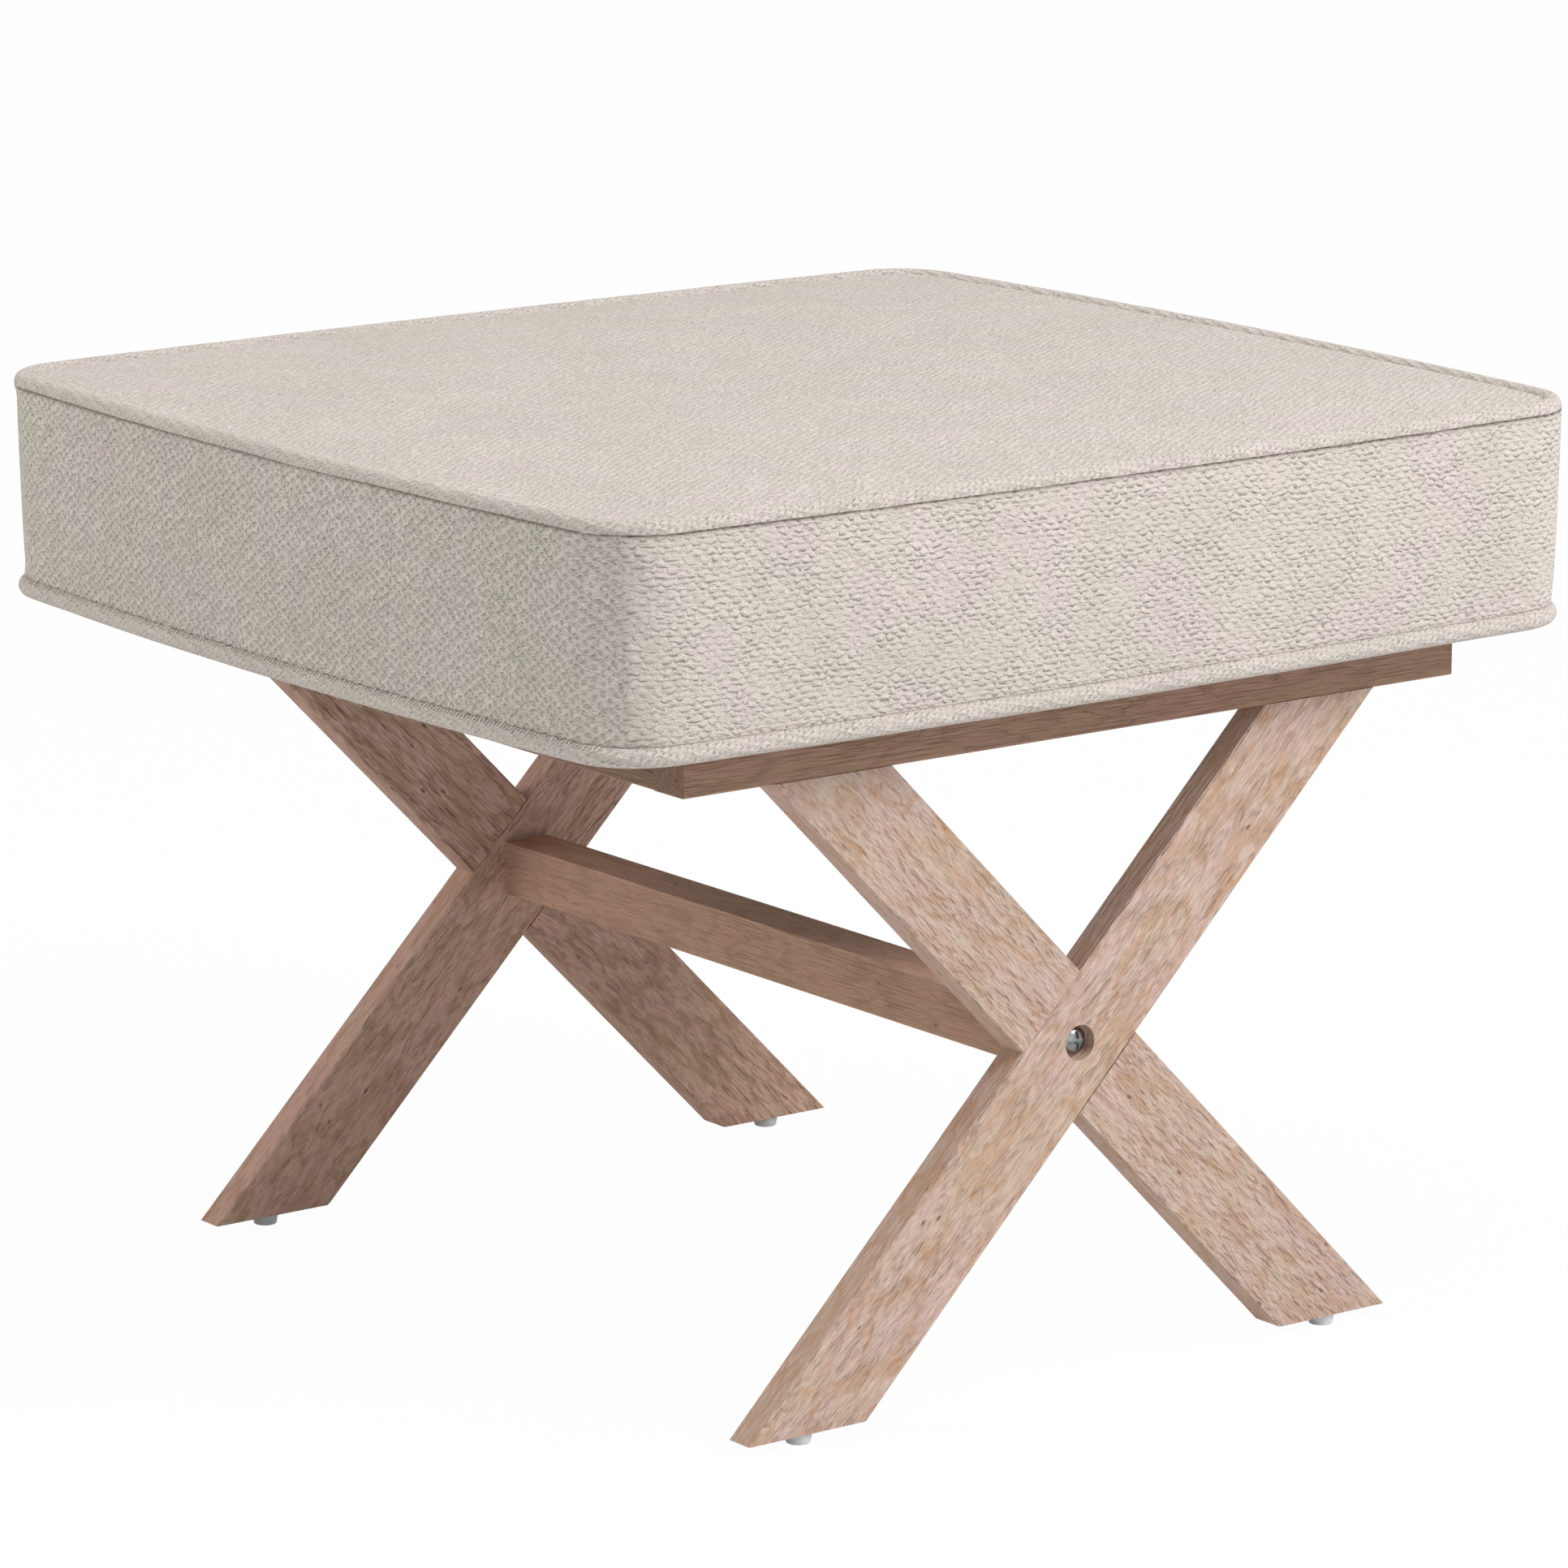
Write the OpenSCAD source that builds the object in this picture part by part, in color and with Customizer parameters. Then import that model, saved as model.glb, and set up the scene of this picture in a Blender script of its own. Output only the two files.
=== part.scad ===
// Upholstered footstool on two crossed-leg frames.
// A piped box cushion sits on a light rail frame. Under each long rail two legs cross in a half lap,
// and one stretcher ties the two crossings together.
// Frame: millimetres, +Z up, origin on the floor under the middle of the seat.
// +X runs along the long rails, and the front is the -Y side.

/* [Cushion] */
// Seat width between the piping centre lines, at the corners
seat_w = 504; // [430:1:640]
// Seat depth between the piping centre lines, at the corners
seat_d = 468; // [440:1:600]
// Plan radius of the corners, on the piping centre line
corner_r = 25; // [18:1:60]
// How far the left and right sides swell outwards at mid-length
bow_w = 10; // [2:0.5:16]
// How far the front and back sides swell outwards at mid-length
bow_d = 6; // [2:0.5:12]
// Height between the lower and the upper piping centre lines
box_h = 91; // [60:1:140]
// Diameter of the covered piping
piping_d = 8.5; // [6:0.5:12]
// Thickness of the cover fabric
fabric_t = 1.2; // [0.8:0.1:2]
// How far the side wall's sewn edges stand outside the piping centre line
wall_edge = 1.2; // [0.8:0.1:2.5]
// How far the side wall bulges beyond its sewn edges at mid-height
wall_bulge = 3.2; // [0:0.2:8]
// Rise of the top panel from its edge to its middle
crown_h = 6; // [2:0.5:14]
// Depth of the top panel's edge below the top of the piping
panel_sink = 2.6; // [1.5:0.1:3.5]

/* [Seat base] */
// Thickness of the plywood seat board
board_t = 12; // [10:0.5:18]
// How far the cover fabric turned under the board reaches past the side rails
turn_reach = 6; // [2:1:20]
// Thickness of the dust cover below the board
dust_t = 0.6; // [0.4:0.1:1]
// Distance from the piping centre line in to the edge of the dust cover
dust_inset = 13; // [8:1:14]
// Distance from the edge of the dust cover in to the row of staples
staple_margin = 5; // [3:0.5:6]
// Length of a staple's crown
staple_w = 10; // [8:0.5:12]
// Length of a staple's legs
staple_leg = 8; // [5:0.5:9]
// Width of the staple wire
staple_wire_w = 1.2; // [0.8:0.1:1.5]
// Thickness of the staple wire
staple_wire_t = 0.6; // [0.4:0.1:0.8]
// Number of staples along the front and along the back
staples_long = 9; // [4:1:12]
// Number of staples along each side
staples_short = 8; // [4:1:12]

/* [Rail frame] */
// How far the cushion's piping overhangs the ends of the long rails
overhang_w = 47; // [24:1:60]
// How far the cushion's piping overhangs the front and back rails
overhang_d = 23; // [22:1:60]
// Thickness of a rail
rail_w = 21; // [18:0.5:30]
// Height of a rail
rail_h = 21; // [19:0.5:40]
// Eased edge of rails, legs and stretcher
arris = 0.7; // [0.3:0.1:1.5]
// Diameter of the dowels in the rail corners
corner_dowel_d = 8; // [6:1:10]
// Length of the dowels in the rail corners
corner_dowel_len = 32; // [26:1:40]
// Depth of a corner dowel in the long rail
corner_dowel_in = 12; // [8:1:15]

/* [Crossed legs] */
// Height of the crossed legs, from cut foot to rail
leg_h = 277.5; // [220:0.5:360]
// Height of the crossing above the cut feet
cross_h = 145; // [110:1:165]
// Slope of a leg from the floor
leg_angle = 45.5; // [42:0.5:58]
// Width of a leg
leg_w = 43.5; // [36:0.5:60]
// Thickness of a leg
leg_t = 14.5; // [13:0.5:20]
// Radius of the rounded inner corner of a foot
foot_r = 5; // [2:0.5:9]
// Diameter of the dowels between legs and rails
leg_dowel_d = 6; // [5:1:8]
// Length of the dowels between legs and rails
leg_dowel_len = 30; // [20:1:32]
// Distance between the two dowels of a leg
leg_dowel_pitch = 22; // [14:1:26]

/* [Stretcher] */
// Width of the stretcher
stretcher_w = 25.5; // [20:0.5:34]
// Height of the stretcher
stretcher_h = 24.5; // [20:0.5:34]
// Outer diameter of the threaded inserts in its ends
insert_d = 10; // [8.5:0.5:12]
// Length of the threaded inserts
insert_len = 15; // [10:1:20]

/* [Bolts] */
// Thread diameter of all bolts
bolt_d = 6; // [5:0.5:6.5]
// Length of the crossing bolts below the head
cross_bolt_len = 35; // [28:1:50]
// Length of the seat bolts below the head
seat_bolt_len = 25; // [23:1:26]
// Diameter of a bolt head
head_d = 12; // [10:0.5:13]
// Height of a bolt head
head_h = 3.4; // [2.8:0.1:4.4]
// Height of the straight rim of a bolt head
head_rim = 1.1; // [0.6:0.1:1.6]
// Length of the cross recess, tip to tip
recess_w = 9; // [5:0.5:9.5]
// Width of one slot of the cross recess
recess_slot = 1.9; // [1:0.1:2.6]
// Depth of the cross recess
recess_depth = 1.9; // [1:0.1:2.2]
// Diameter of the sunk seat for a head in a leg
cross_sink_d = 15.5; // [14:0.5:18]
// Depth of the sunk seat for a head in a leg
cross_sink_depth = 5; // [3:0.5:5.5]
// Diameter of the sunk seat for a head in a rail
seat_sink_d = 14; // [13.5:0.5:15]
// Depth of the sunk seat for a head in a rail
seat_sink_depth = 7; // [5:0.5:8]
// Distance from the middle to a seat bolt, along the side rails
seat_bolt_y = 100; // [60:1:130]

/* [Tee nuts] */
// Diameter of a tee nut's flange
tee_flange_d = 19; // [16:0.5:21]
// Thickness of a tee nut's flange
tee_flange_t = 1.4; // [1:0.1:2]
// Outer diameter of a tee nut's barrel
tee_barrel_d = 8; // [7.5:0.1:9]
// Length of a tee nut's barrel below the flange
tee_barrel_len = 8.5; // [5:0.5:8.5]

/* [Glides] */
// Diameter of a glide where it meets the foot
glide_d = 12; // [10:0.5:13]
// Diameter of a glide at the floor
glide_tip_d = 10.6; // [9.6:0.1:11.6]
// Height of a glide
glide_h = 5; // [4:0.5:10]
// Radius of the rounded lower edge of a glide
glide_edge_r = 0.8; // [0.3:0.1:1.2]
// Diameter of the recess that hides the nail head
nail_recess_d = 5; // [4.6:0.1:6]
// Depth of the recess that hides the nail head
nail_recess_depth = 2.4; // [1.6:0.1:3]
// Diameter of the nail head
nail_head_d = 4.4; // [3.4:0.1:4.5]
// Thickness of the nail head
nail_head_t = 0.9; // [0.6:0.1:1.4]
// Diameter of the nail shank
nail_d = 2.4; // [1.8:0.1:3]
// Length of the nail shank
nail_len = 15; // [10:0.5:20]

/* [Fits] */
// Gap between soft pieces and what they lie against
soft_gap = 0.3; // [0.2:0.05:0.5]
// Clearance round a dowel, nail, insert or staple, and beside a lap
fit_gap = 0.1; // [0.05:0.05:0.2]
// Clearance between a bolt and its plain hole
bolt_gap = 0.25; // [0.15:0.05:0.5]
// Clearance between a bolt and a threaded bore
thread_gap = 0.05; // [0.02:0.01:0.1]
// Spare depth at the end of a blind hole
hole_spare = 1; // [0.5:0.1:1.5]

/* [Hidden] */

$fn = 64;
overrun = rail_w;

fabric_col = [0.80, 0.76, 0.70];
piping_col = [0.77, 0.73, 0.67];
wood_col = [0.76, 0.64, 0.54];
rail_col = [0.70, 0.57, 0.47];
dowel_col = [0.85, 0.75, 0.58];
foam_col = [0.93, 0.89, 0.72];
board_col = [0.82, 0.70, 0.52];
dust_col = [0.16, 0.16, 0.17];
steel_col = [0.55, 0.56, 0.58];
zinc_col = [0.72, 0.73, 0.75];
plastic_col = [0.90, 0.91, 0.92];

// Heights of the layers, from the floor up
foot_z = glide_h;
cross_z = foot_z + cross_h;
rail_z = foot_z + leg_h;
seat_z = rail_z + rail_h;
turn_z = seat_z + dust_t;
board_z = turn_z + fabric_t;
board_top_z = board_z + board_t;
piping_r = piping_d / 2;
low_piping_z = seat_z + piping_r;
top_piping_z = low_piping_z + box_h;
panel_edge_z = top_piping_z + piping_r - panel_sink;

// Offsets from the piping centre line, negative towards the middle
piping_clear = -(piping_r + soft_gap);
board_off = piping_clear - soft_gap;
foam_off = wall_edge - fabric_t - soft_gap;
turn_off = -(overhang_w + rail_w + turn_reach);
staple_inset = dust_inset + staple_margin;

// Places in the rail frame
frame_w = seat_w - 2 * overhang_w;
frame_d = seat_d - 2 * overhang_d;
rail_x = frame_w / 2 - rail_w / 2;
rail_y = frame_d / 2 - rail_w / 2;
frame_y = frame_d / 2 - leg_t / 2;
stretcher_len = frame_d - 2 * leg_t;

// Places along a leg, measured from the crossing
foot_x = -cross_h / tan(leg_angle);
head_x = (leg_h - cross_h) / tan(leg_angle);
leg_half_cut = leg_w / 2 / sin(leg_angle);
leg_len = leg_h / sin(leg_angle) + leg_w / tan(leg_angle) + overrun;
dowel_mid_x = head_x - leg_dowel_len / 4 / tan(leg_angle);

// Outline of the cushion in plan: points on a corner, points along a side
corner_n = 6;
side_n = 9;
quarter_n = corner_n + side_n;
ring_n = 4 * quarter_n;
piping_n = 10;
wall_n = 5;
crown_shares = [1, 0.93, 0.78, 0.52, 0.24];
corner_floor_share = 0.2;
bulge_power = 3;
quads = [[1, 1], [-1, 1], [-1, -1], [1, -1]];

// One rounded rectangle, grown by off, as a closed list of points
function plan(off) =
    let (
        hx = seat_w / 2 + off,
        hy = seat_d / 2 + off,
        r = max(corner_r + off, corner_r * corner_floor_share),
        arc = [for (k = [0:3]) [for (i = [0:corner_n])
            let (a = 90 * k + 90 * i / corner_n)
            [quads[k].x * (hx - r) + r * cos(a), quads[k].y * (hy - r) + r * sin(a)]]]
    )
    [for (k = [0:3]) each concat(
        arc[k],
        [for (j = [1:side_n - 1]) lerp(arc[k][corner_n], arc[(k + 1) % 4][0], j / side_n)]
    )];

function lerp(a, b, t) = a + (b - a) * t;

// The same point moved outwards as the long sides swell
function bowed(p, off) =
    let (hx = seat_w / 2 + off, hy = seat_d / 2 + off)
    [
        p.x * (1 + bow_w / hx * (1 - pow(p.y / hy, 2))),
        p.y * (1 + bow_d / hy * (1 - pow(p.x / hx, 2)))
    ];

function outline(off) = [for (p = plan(off)) bowed(p, off)];

// A level ring of the cushion at height z
function ring(off, z) = [for (p = outline(off)) [p.x, p.y, z]];

// A ring of the crowned top, shrunk to a share of the edge, over the edge height z
function crown_ring(off, z, share) =
    [for (p = plan(off))
        let (q = p * share, b = bowed(q, off))
        [b.x, b.y, z + crown_at(q, off)]];

function crown_at(q, off) =
    crown_h * (1 - pow(q.x / (seat_w / 2 + off), 2)) * (1 - pow(q.y / (seat_d / 2 + off), 2));

// Offset of the side wall's outer face at a share t of its height
function wall_off(t) = wall_edge + wall_bulge * (1 - pow(abs(2 * t - 1), bulge_power));

wall_low_z = low_piping_z + piping_r + soft_gap;
wall_top_z = top_piping_z - piping_r - soft_gap;

function wall_z(t) = lerp(wall_low_z, wall_top_z, t);

// Faces between neighbouring rings of n points, clockwise seen from outside
function band(i, k, n, last) =
    [for (j = [0:last]) each [
        [i * n + j, k * n + j, k * n + (j + 1) % n],
        [i * n + j, k * n + (j + 1) % n, i * n + (j + 1) % n]
    ]];

// Solid closed by a point at each end: rings run from the low point to the high point
module capped_skin(rings, low, high) {
    n = len(rings[0]);
    m = len(rings);
    points = concat([for (r = rings) each r], [low, high]);
    faces = concat(
        [for (i = [0:m - 2]) each band(i, i + 1, n, n - 1)],
        [for (j = [0:n - 1]) [m * n, j, (j + 1) % n]],
        [for (j = [0:n - 1]) [m * n + 1, (m - 1) * n + (j + 1) % n, (m - 1) * n + j]]
    );
    polyhedron(points = points, faces = faces);
}

// Closed hoop: the rings run once round its section
module hoop_skin(rings) {
    n = len(rings[0]);
    m = len(rings);
    polyhedron(
        points = [for (r = rings) each r],
        faces = [for (i = [0:m - 1]) each band(i, (i + 1) % m, n, n - 1)]
    );
}

// Thin strip with two ends: the rows run up its outer face and down its inner face
module strip_skin(rows) {
    n = len(rows[0]);
    m = len(rows);
    polyhedron(
        points = [for (r = rows) each r],
        faces = concat(
            [for (i = [0:m - 1]) each band(i, (i + 1) % m, n, n - 2)],
            [for (i = [0:m / 2 - 2]) each end_cap(i * n, (i + 1) * n, (m - 2 - i) * n, (m - 1 - i) * n)],
            [for (i = [0:m / 2 - 2]) each end_cap(
                (m - i) * n - 1, (m - 1 - i) * n - 1, (i + 2) * n - 1, (i + 1) * n - 1
            )]
        )
    );
}

function end_cap(a, b, c, d) = [[a, c, b], [a, d, c]];

// Foam with a swelling wall, a rebate for the upper piping and a lip round the board's edge
module foam_block() {
    under_z = panel_edge_z - fabric_t - soft_gap;
    rings = concat(
        [
            ring(board_off + soft_gap, board_top_z),
            ring(board_off + soft_gap, wall_low_z),
            ring(foam_off, wall_low_z)
        ],
        [for (i = [1:wall_n]) ring(wall_off(i / wall_n) - fabric_t - soft_gap, wall_z(i / wall_n))],
        [ring(piping_clear, wall_top_z)],
        [for (s = crown_shares) crown_ring(piping_clear, under_z, s)]
    );
    color(foam_col)
        capped_skin(rings, [0, 0, board_top_z], [0, 0, under_z + crown_h]);
}

// Crowned top panel of the cover
module cover_top() {
    off = piping_clear;
    low_z = panel_edge_z - fabric_t;
    m = len(crown_shares);
    rings = concat(
        [for (i = [m - 1:-1:0]) crown_ring(off, low_z, crown_shares[i])],
        [for (s = crown_shares) crown_ring(off, panel_edge_z, s)]
    );
    color(fabric_col)
        capped_skin(rings, [0, 0, low_z + crown_h], [0, 0, panel_edge_z + crown_h]);
}

// One side of the boxing, from the middle of one corner to the middle of the next
module boxing_panel(k) {
    outer = [for (i = [0:wall_n]) ring(wall_off(i / wall_n), wall_z(i / wall_n))];
    inner = [for (i = [wall_n:-1:0]) ring(wall_off(i / wall_n) - fabric_t, wall_z(i / wall_n))];
    start = k * quarter_n + corner_n / 2;
    rows = [for (r = concat(outer, inner)) [for (j = [0:quarter_n]) r[(start + j) % ring_n]]];
    color(fabric_col)
        strip_skin(rows);
}

module boxing_back() {
    boxing_panel(0);
}

module boxing_left() {
    boxing_panel(1);
}

module boxing_front() {
    boxing_panel(2);
}

module boxing_right() {
    boxing_panel(3);
}

// Covered cord, one closed hoop round the cushion at height z
module piping(z) {
    color(piping_col)
        hoop_skin([for (i = [0:piping_n - 1])
            let (a = 360 * (i + 0.5) / piping_n)
            ring(piping_r * sin(a), z - piping_r * cos(a))]);
}

module piping_top() {
    piping(top_piping_z);
}

module piping_bottom() {
    piping(low_piping_z);
}

// Flat layer of the seat base, from height z, following the cushion's outline
module layer(off, z, t) {
    translate([0, 0, z])
        linear_extrude(t)
            polygon(outline(off));
}

// Cover fabric turned under the board
module cover_turn_under() {
    color(fabric_col)
        difference() {
            layer(piping_clear, turn_z, fabric_t);
            layer(turn_off, turn_z - overrun, fabric_t + 2 * overrun);
            staple_legs(fit_gap);
            seat_bolt_holes();
        }
}

// Thin dark cloth that closes the underside
module dust_cover() {
    color(dust_col)
        difference() {
            layer(-dust_inset, seat_z, dust_t);
            staple_legs(fit_gap);
            seat_bolt_holes();
        }
}

module seat_board() {
    color(board_col)
        difference() {
            layer(board_off, board_z, board_t);
            staple_legs(fit_gap);
            at_seat_bolts() {
                translate([0, 0, board_z - overrun])
                    cylinder(d = tee_barrel_d + 2 * fit_gap, h = board_t + 2 * overrun);
                translate([0, 0, board_top_z - tee_flange_t])
                    cylinder(d = tee_flange_d + 2 * fit_gap, h = tee_flange_t + overrun);
            }
        }
}

// Staple places: along the front and back, and along both sides
module at_staples() {
    line_x = seat_w / 2 - staple_inset;
    line_y = seat_d / 2 - staple_inset;
    for (side = [-1, 1]) {
        for (i = [0:staples_long - 1])
            translate([(2 * i + 1 - staples_long) / staples_long * (line_x - corner_r), side * line_y, 0])
                children();
        for (i = [0:staples_short - 1])
            translate([side * line_x, (2 * i + 1 - staples_short) / staples_short * (line_y - corner_r), 0])
                rotate([0, 0, 90])
                    children();
    }
}

module staple_legs(gap) {
    at_staples()
        for (end = [-1, 1])
            translate([
                end * (staple_w - staple_wire_t) / 2 - staple_wire_t / 2 - gap,
                -staple_wire_w / 2 - gap,
                seat_z - gap
            ])
                cube([staple_wire_t + 2 * gap, staple_wire_w + 2 * gap, staple_leg + 2 * gap]);
}

module staples() {
    color(zinc_col) {
        staple_legs(0);
        at_staples()
            translate([-staple_w / 2, -staple_wire_w / 2, seat_z - staple_wire_t])
                cube([staple_w, staple_wire_w, staple_wire_t]);
    }
}

module at_seat_bolts() {
    for (x = [-rail_x, rail_x], y = [-seat_bolt_y, seat_bolt_y])
        translate([x, y, 0])
            children();
}

// Plain bolt holes, from the sunk seats in the side rails up through the board
module seat_bolt_holes() {
    at_seat_bolts()
        translate([0, 0, rail_z - overrun])
            cylinder(d = bolt_d + 2 * bolt_gap, h = rail_h + board_t + 2 * overrun);
}

module tee_nuts() {
    color(zinc_col)
        at_seat_bolts()
            difference() {
                union() {
                    translate([0, 0, board_top_z - tee_flange_t])
                        cylinder(d = tee_flange_d, h = tee_flange_t);
                    translate([0, 0, board_top_z - tee_flange_t - tee_barrel_len])
                        cylinder(d = tee_barrel_d, h = tee_flange_t + tee_barrel_len);
                }
                translate([0, 0, board_z - overrun])
                    cylinder(d = bolt_d + 2 * thread_gap, h = board_t + 2 * overrun);
            }
}

// Domed bolt head with a cross recess: its seat is at z = 0 and the dome points to +Z
module bolt_head() {
    dome_h = head_h - head_rim;
    dome_r = (pow(head_d / 2, 2) + pow(dome_h, 2)) / (2 * dome_h);
    difference() {
        intersection() {
            cylinder(d = head_d, h = head_h);
            translate([0, 0, head_h - dome_r])
                sphere(r = dome_r);
        }
        for (a = [0, 90])
            rotate([0, 0, a])
                translate([-recess_w / 2, -recess_slot / 2, head_h - recess_depth])
                    cube([recess_w, recess_slot, recess_depth + overrun]);
    }
}

module bolt(length) {
    color(steel_col) {
        bolt_head();
        translate([0, 0, -length])
            cylinder(d = bolt_d, h = length + head_rim);
    }
}

module seat_bolts() {
    at_seat_bolts()
        translate([0, 0, rail_z + seat_sink_depth])
            rotate([180, 0, 0])
                bolt(seat_bolt_len);
}

// Straight bar along X with eased long edges: w runs along Y and h along Z
module bar(length, w, h) {
    shape = [
        [w / 2 - arris, -h / 2], [w / 2, -h / 2 + arris],
        [w / 2, h / 2 - arris], [w / 2 - arris, h / 2],
        [-w / 2 + arris, h / 2], [-w / 2, h / 2 - arris],
        [-w / 2, -h / 2 + arris], [-w / 2 + arris, -h / 2]
    ];
    rotate([90, 0, 90])
        linear_extrude(length, center = true)
            polygon(shape);
}

// Long rail over the front frame, full length, with the side rails butted behind it
module rail_front() {
    color(rail_col)
        difference() {
            translate([0, -rail_y, rail_z + rail_h / 2])
                bar(frame_w, rail_w, rail_h);
            front_leg_dowels(fit_gap, hole_spare);
            corner_dowel_set(fit_gap, hole_spare);
        }
}

module rail_back() {
    rotate([0, 0, 180])
        rail_front();
}

module rail_left() {
    color(rail_col)
        difference() {
            translate([-rail_x, 0, rail_z + rail_h / 2])
                rotate([0, 0, 90])
                    bar(frame_d - 2 * rail_w, rail_w, rail_h);
            corner_dowel_set(fit_gap, hole_spare);
            seat_bolt_holes();
            at_seat_bolts()
                translate([0, 0, rail_z - overrun])
                    cylinder(d = seat_sink_d, h = seat_sink_depth + overrun);
        }
}

module rail_right() {
    rotate([0, 0, 180])
        rail_left();
}

// Dowels that run along Y through the rail corners
module corner_dowel_set(gap, spare) {
    for (x = [-rail_x, rail_x], side = [-1, 1])
        translate([x, side * (frame_d / 2 - rail_w + corner_dowel_in), rail_z + rail_h / 2])
            rotate([side * 90, 0, 0])
                translate([0, 0, -spare])
                    cylinder(d = corner_dowel_d + 2 * gap, h = corner_dowel_len + 2 * spare);
}

module corner_dowels() {
    color(dowel_col)
        corner_dowel_set(0, 0);
}

// Upright dowels between the front legs and the front rail
module front_leg_dowels(gap, spare) {
    for (side = [-1, 1], end = [-1, 1])
        translate([
            side * (dowel_mid_x + end * leg_dowel_pitch / 2),
            -frame_y,
            rail_z - leg_dowel_len / 2 - spare
        ])
            cylinder(d = leg_dowel_d + 2 * gap, h = leg_dowel_len + 2 * spare);
}

module leg_dowels() {
    color(dowel_col)
        for (turn = [0, 180])
            rotate([0, 0, turn])
                front_leg_dowels(0, 0);
}

// Sloping bar through the crossing, rising to the right, cut level at foot and head
module leg_blank() {
    intersection() {
        rotate([0, -leg_angle, 0])
            bar(leg_len, leg_t, leg_w);
        translate([-leg_len, -leg_t, -cross_h])
            cube([2 * leg_len, 2 * leg_t, leg_h]);
    }
}

// Waste outside the rounded inner corner of the foot
module foot_waste() {
    reach = foot_r + overrun;
    middle = [foot_x + leg_half_cut - foot_r * tan(leg_angle / 2), foot_r - cross_h];
    rotate([90, 0, 0])
        linear_extrude(2 * leg_t, center = true)
            translate(middle)
                difference() {
                    polygon([
                        [0, 0],
                        [0, -reach],
                        [tan(leg_angle / 2) * reach, -reach],
                        [sin(leg_angle) * reach, -cos(leg_angle) * reach]
                    ]);
                    circle(r = foot_r);
                }
}

// Half of the crossing that the other leg takes, on the side given: -1 outside, 1 inside
module lap_waste(side) {
    depth = leg_t / 2;
    rotate([0, leg_angle, 0])
        translate([-leg_w, side > 0 ? 0 : -depth - overrun, -leg_w / 2 - fit_gap])
            cube([2 * leg_w, depth + overrun, leg_w + 2 * fit_gap]);
}

module cross_bolt_hole() {
    rotate([90, 0, 0])
        cylinder(d = bolt_d + 2 * bolt_gap, h = 2 * leg_t, center = true);
}

// Nail hole up into the middle of a foot
module nail_hole() {
    translate([foot_x, 0, -cross_h - overrun])
        cylinder(d = nail_d + 2 * fit_gap, h = nail_len + overrun);
}

// Leg that shows whole on the outer face: it rises to the right, and its lap is cut from behind
module outer_leg() {
    color(wood_col)
        difference() {
            leg_blank();
            foot_waste();
            lap_waste(1);
            cross_bolt_hole();
            translate([0, -leg_t / 2 + cross_sink_depth, 0])
                rotate([90, 0, 0])
                    cylinder(d = cross_sink_d, h = cross_sink_depth + overrun);
            nail_hole();
        }
}

// Leg behind it: it rises to the left, and its lap is cut from the outer face
module inner_leg() {
    color(wood_col)
        difference() {
            mirror([1, 0, 0])
                difference() {
                    leg_blank();
                    foot_waste();
                    lap_waste(-1);
                    nail_hole();
                }
            cross_bolt_hole();
        }
}

module front_leg_outer() {
    difference() {
        translate([0, -frame_y, cross_z])
            outer_leg();
        front_leg_dowels(fit_gap, hole_spare);
    }
}

module front_leg_inner() {
    difference() {
        translate([0, -frame_y, cross_z])
            inner_leg();
        front_leg_dowels(fit_gap, hole_spare);
    }
}

module back_leg_outer() {
    rotate([0, 0, 180])
        front_leg_outer();
}

module back_leg_inner() {
    rotate([0, 0, 180])
        front_leg_inner();
}

// Bar between the two crossings, with a threaded insert in each end
module stretcher() {
    color(rail_col)
        difference() {
            translate([0, 0, cross_z])
                rotate([0, 0, 90])
                    bar(stretcher_len, stretcher_w, stretcher_h);
            for (turn = [0, 180])
                rotate([0, 0, turn])
                    translate([0, -stretcher_len / 2, cross_z])
                        rotate([-90, 0, 0]) {
                            translate([0, 0, -overrun])
                                cylinder(d = insert_d + 2 * fit_gap, h = insert_len + overrun);
                            cylinder(d = bolt_d + 2 * bolt_gap, h = cross_bolt_len);
                        }
        }
}

module stretcher_inserts() {
    color(zinc_col)
        for (turn = [0, 180])
            rotate([0, 0, turn])
                translate([0, -stretcher_len / 2, cross_z])
                    rotate([-90, 0, 0])
                        difference() {
                            cylinder(d = insert_d, h = insert_len);
                            translate([0, 0, -overrun])
                                cylinder(d = bolt_d + 2 * thread_gap, h = insert_len + 2 * overrun);
                        }
}

module bolt_front() {
    translate([0, -frame_d / 2 + cross_sink_depth, cross_z])
        rotate([90, 0, 0])
            bolt(cross_bolt_len);
}

module bolt_back() {
    rotate([0, 0, 180])
        bolt_front();
}

// Tapered foot glide under the foot on the given sides: its recess hides the nail head
module glide(side_x, side_y) {
    edge_x = glide_tip_d / 2 - glide_edge_r;
    color(plastic_col)
        translate([side_x * -foot_x, side_y * frame_y, 0])
            difference() {
                rotate_extrude()
                    union() {
                        polygon([
                            [0, 0], [edge_x, 0], [edge_x, glide_edge_r],
                            [glide_tip_d / 2, glide_edge_r], [glide_d / 2, glide_h], [0, glide_h]
                        ]);
                        intersection() {
                            translate([edge_x, glide_edge_r])
                                circle(r = glide_edge_r);
                            translate([edge_x, 0])
                                square(glide_edge_r);
                        }
                    }
                translate([0, 0, -overrun])
                    cylinder(d = nail_recess_d, h = nail_recess_depth + overrun);
                cylinder(d = nail_d + 2 * fit_gap, h = glide_h + overrun);
            }
}

module glide_front_left() {
    glide(-1, -1);
}

module glide_front_right() {
    glide(1, -1);
}

module glide_back_left() {
    glide(-1, 1);
}

module glide_back_right() {
    glide(1, 1);
}

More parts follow.
